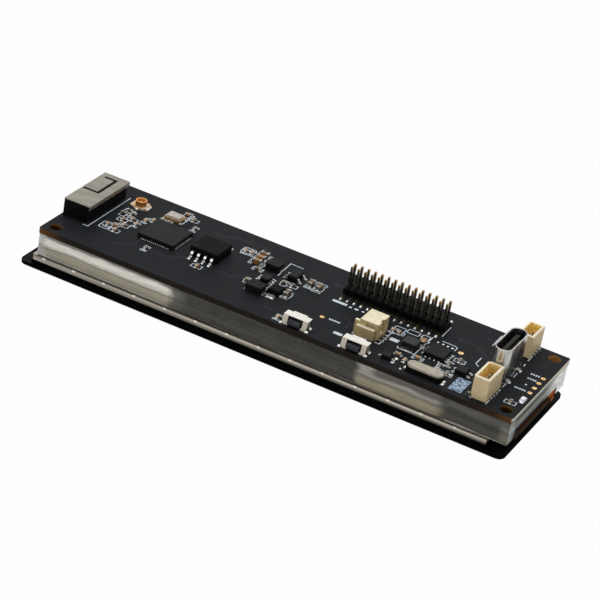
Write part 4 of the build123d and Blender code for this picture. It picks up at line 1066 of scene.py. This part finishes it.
def add_chip_marks():
    """The moulded corner dots that show how the chips are turned."""
    marks = bmesh.new()
    for node, inset, radius in CHIP_DOTS:
        low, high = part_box(node)
        outline = circle(low.x + inset * MM, low.y + inset * MM, radius * MM, 24)
        prism(marks, outline, high.z - 0.05 * MM, high.z + 0.006 * MM)
    piece("chip_corner_dots", marks, chip_black)


# Surroundings
def add_camera():
    """The photograph's camera."""
    data = bpy.data.cameras.new("camera")
    data.lens = CAMERA_LENS
    data.sensor_width = 36
    data.clip_start = 0.01
    data.clip_end = 20
    camera = new_object("camera", data)
    turn = Matrix((CAMERA_RIGHT, CAMERA_UP, CAMERA_BACK)).transposed()
    camera.matrix_world = Matrix.Translation(CAMERA_PLACE) @ turn.to_4x4()
    bpy.context.scene.camera = camera


def seen_directly(tree):
    """1 for rays from the camera, from a reflection or through clear plastic, else 0."""
    path = tree.nodes.new("ShaderNodeLightPath")
    direct = combine(path.outputs["Is Camera Ray"], path.outputs["Is Glossy Ray"], "MAXIMUM")
    return combine(direct, path.outputs["Is Transmission Ray"], "MAXIMUM")


def add_floor():
    """White paper just under the object, which glows for the camera and takes shadows."""
    own_glow = 0.975
    gap = 0.02 * MM
    half = 3.0
    material, tree = shader("floor_paper", specular=0.0, roughness=0.9)
    bsdf = tree.nodes["Principled BSDF"]
    paper = blend(noise(tree, 12.0), (200, 200, 200), (208, 208, 208))
    link(paper, bsdf.inputs["Base Color"])
    glow = tree.nodes.new("ShaderNodeEmission")
    mixed = tree.nodes.new("ShaderNodeMixShader")
    link(combine(seen_directly(tree), own_glow, "MULTIPLY"), mixed.inputs[0])
    link(bsdf.outputs["BSDF"], mixed.inputs[1])
    link(glow.outputs["Emission"], mixed.inputs[2])
    link(mixed.outputs["Shader"], tree.nodes["Material Output"].inputs["Surface"])
    bm = bmesh.new()
    corners = ((-half, -half, 0), (half, -half, 0), (half, half, 0), (-half, half, 0))
    bm.faces.new([bm.verts.new(corner) for corner in corners])
    floor = mesh_object("floor", bm, material)
    floor.location.z = cad_box[0][2] - gap


def add_world():
    """A white studio, brighter where it is seen or reflected than as light."""
    as_light, as_seen = 0.42, 1.0
    world = bpy.data.worlds.new("studio")
    world.use_nodes = True
    tree = world.node_tree
    background = tree.nodes["Background"]
    background.inputs["Color"].default_value = (1, 1, 1, 1)
    link(span(seen_directly(tree), as_light, as_seen, 0, 1), background.inputs["Strength"])
    bpy.context.scene.world = world


def add_lamp(name, place_from, size, power):
    """A square lamp that looks at the middle of the object."""
    data = bpy.data.lights.new(name, "AREA")
    data.size = size
    data.energy = power
    lamp = new_object(name, data)
    lamp.location = place_from
    lamp.rotation_euler = (-Vector(place_from)).to_track_quat("-Z", "Y").to_euler()


paint_nodes()
add_solder()
add_header_solder()
add_blobs()
add_print()
add_copper()
add_chip_marks()
add_camera()
add_floor()
add_world()
add_lamp("top_softbox", (-0.05, 0.15, 0.6), 0.5, 2.4)
add_lamp("front_softbox", (-0.35, -0.45, 0.3), 0.4, 0.6)
bpy.context.scene.view_settings.view_transform = "Standard"
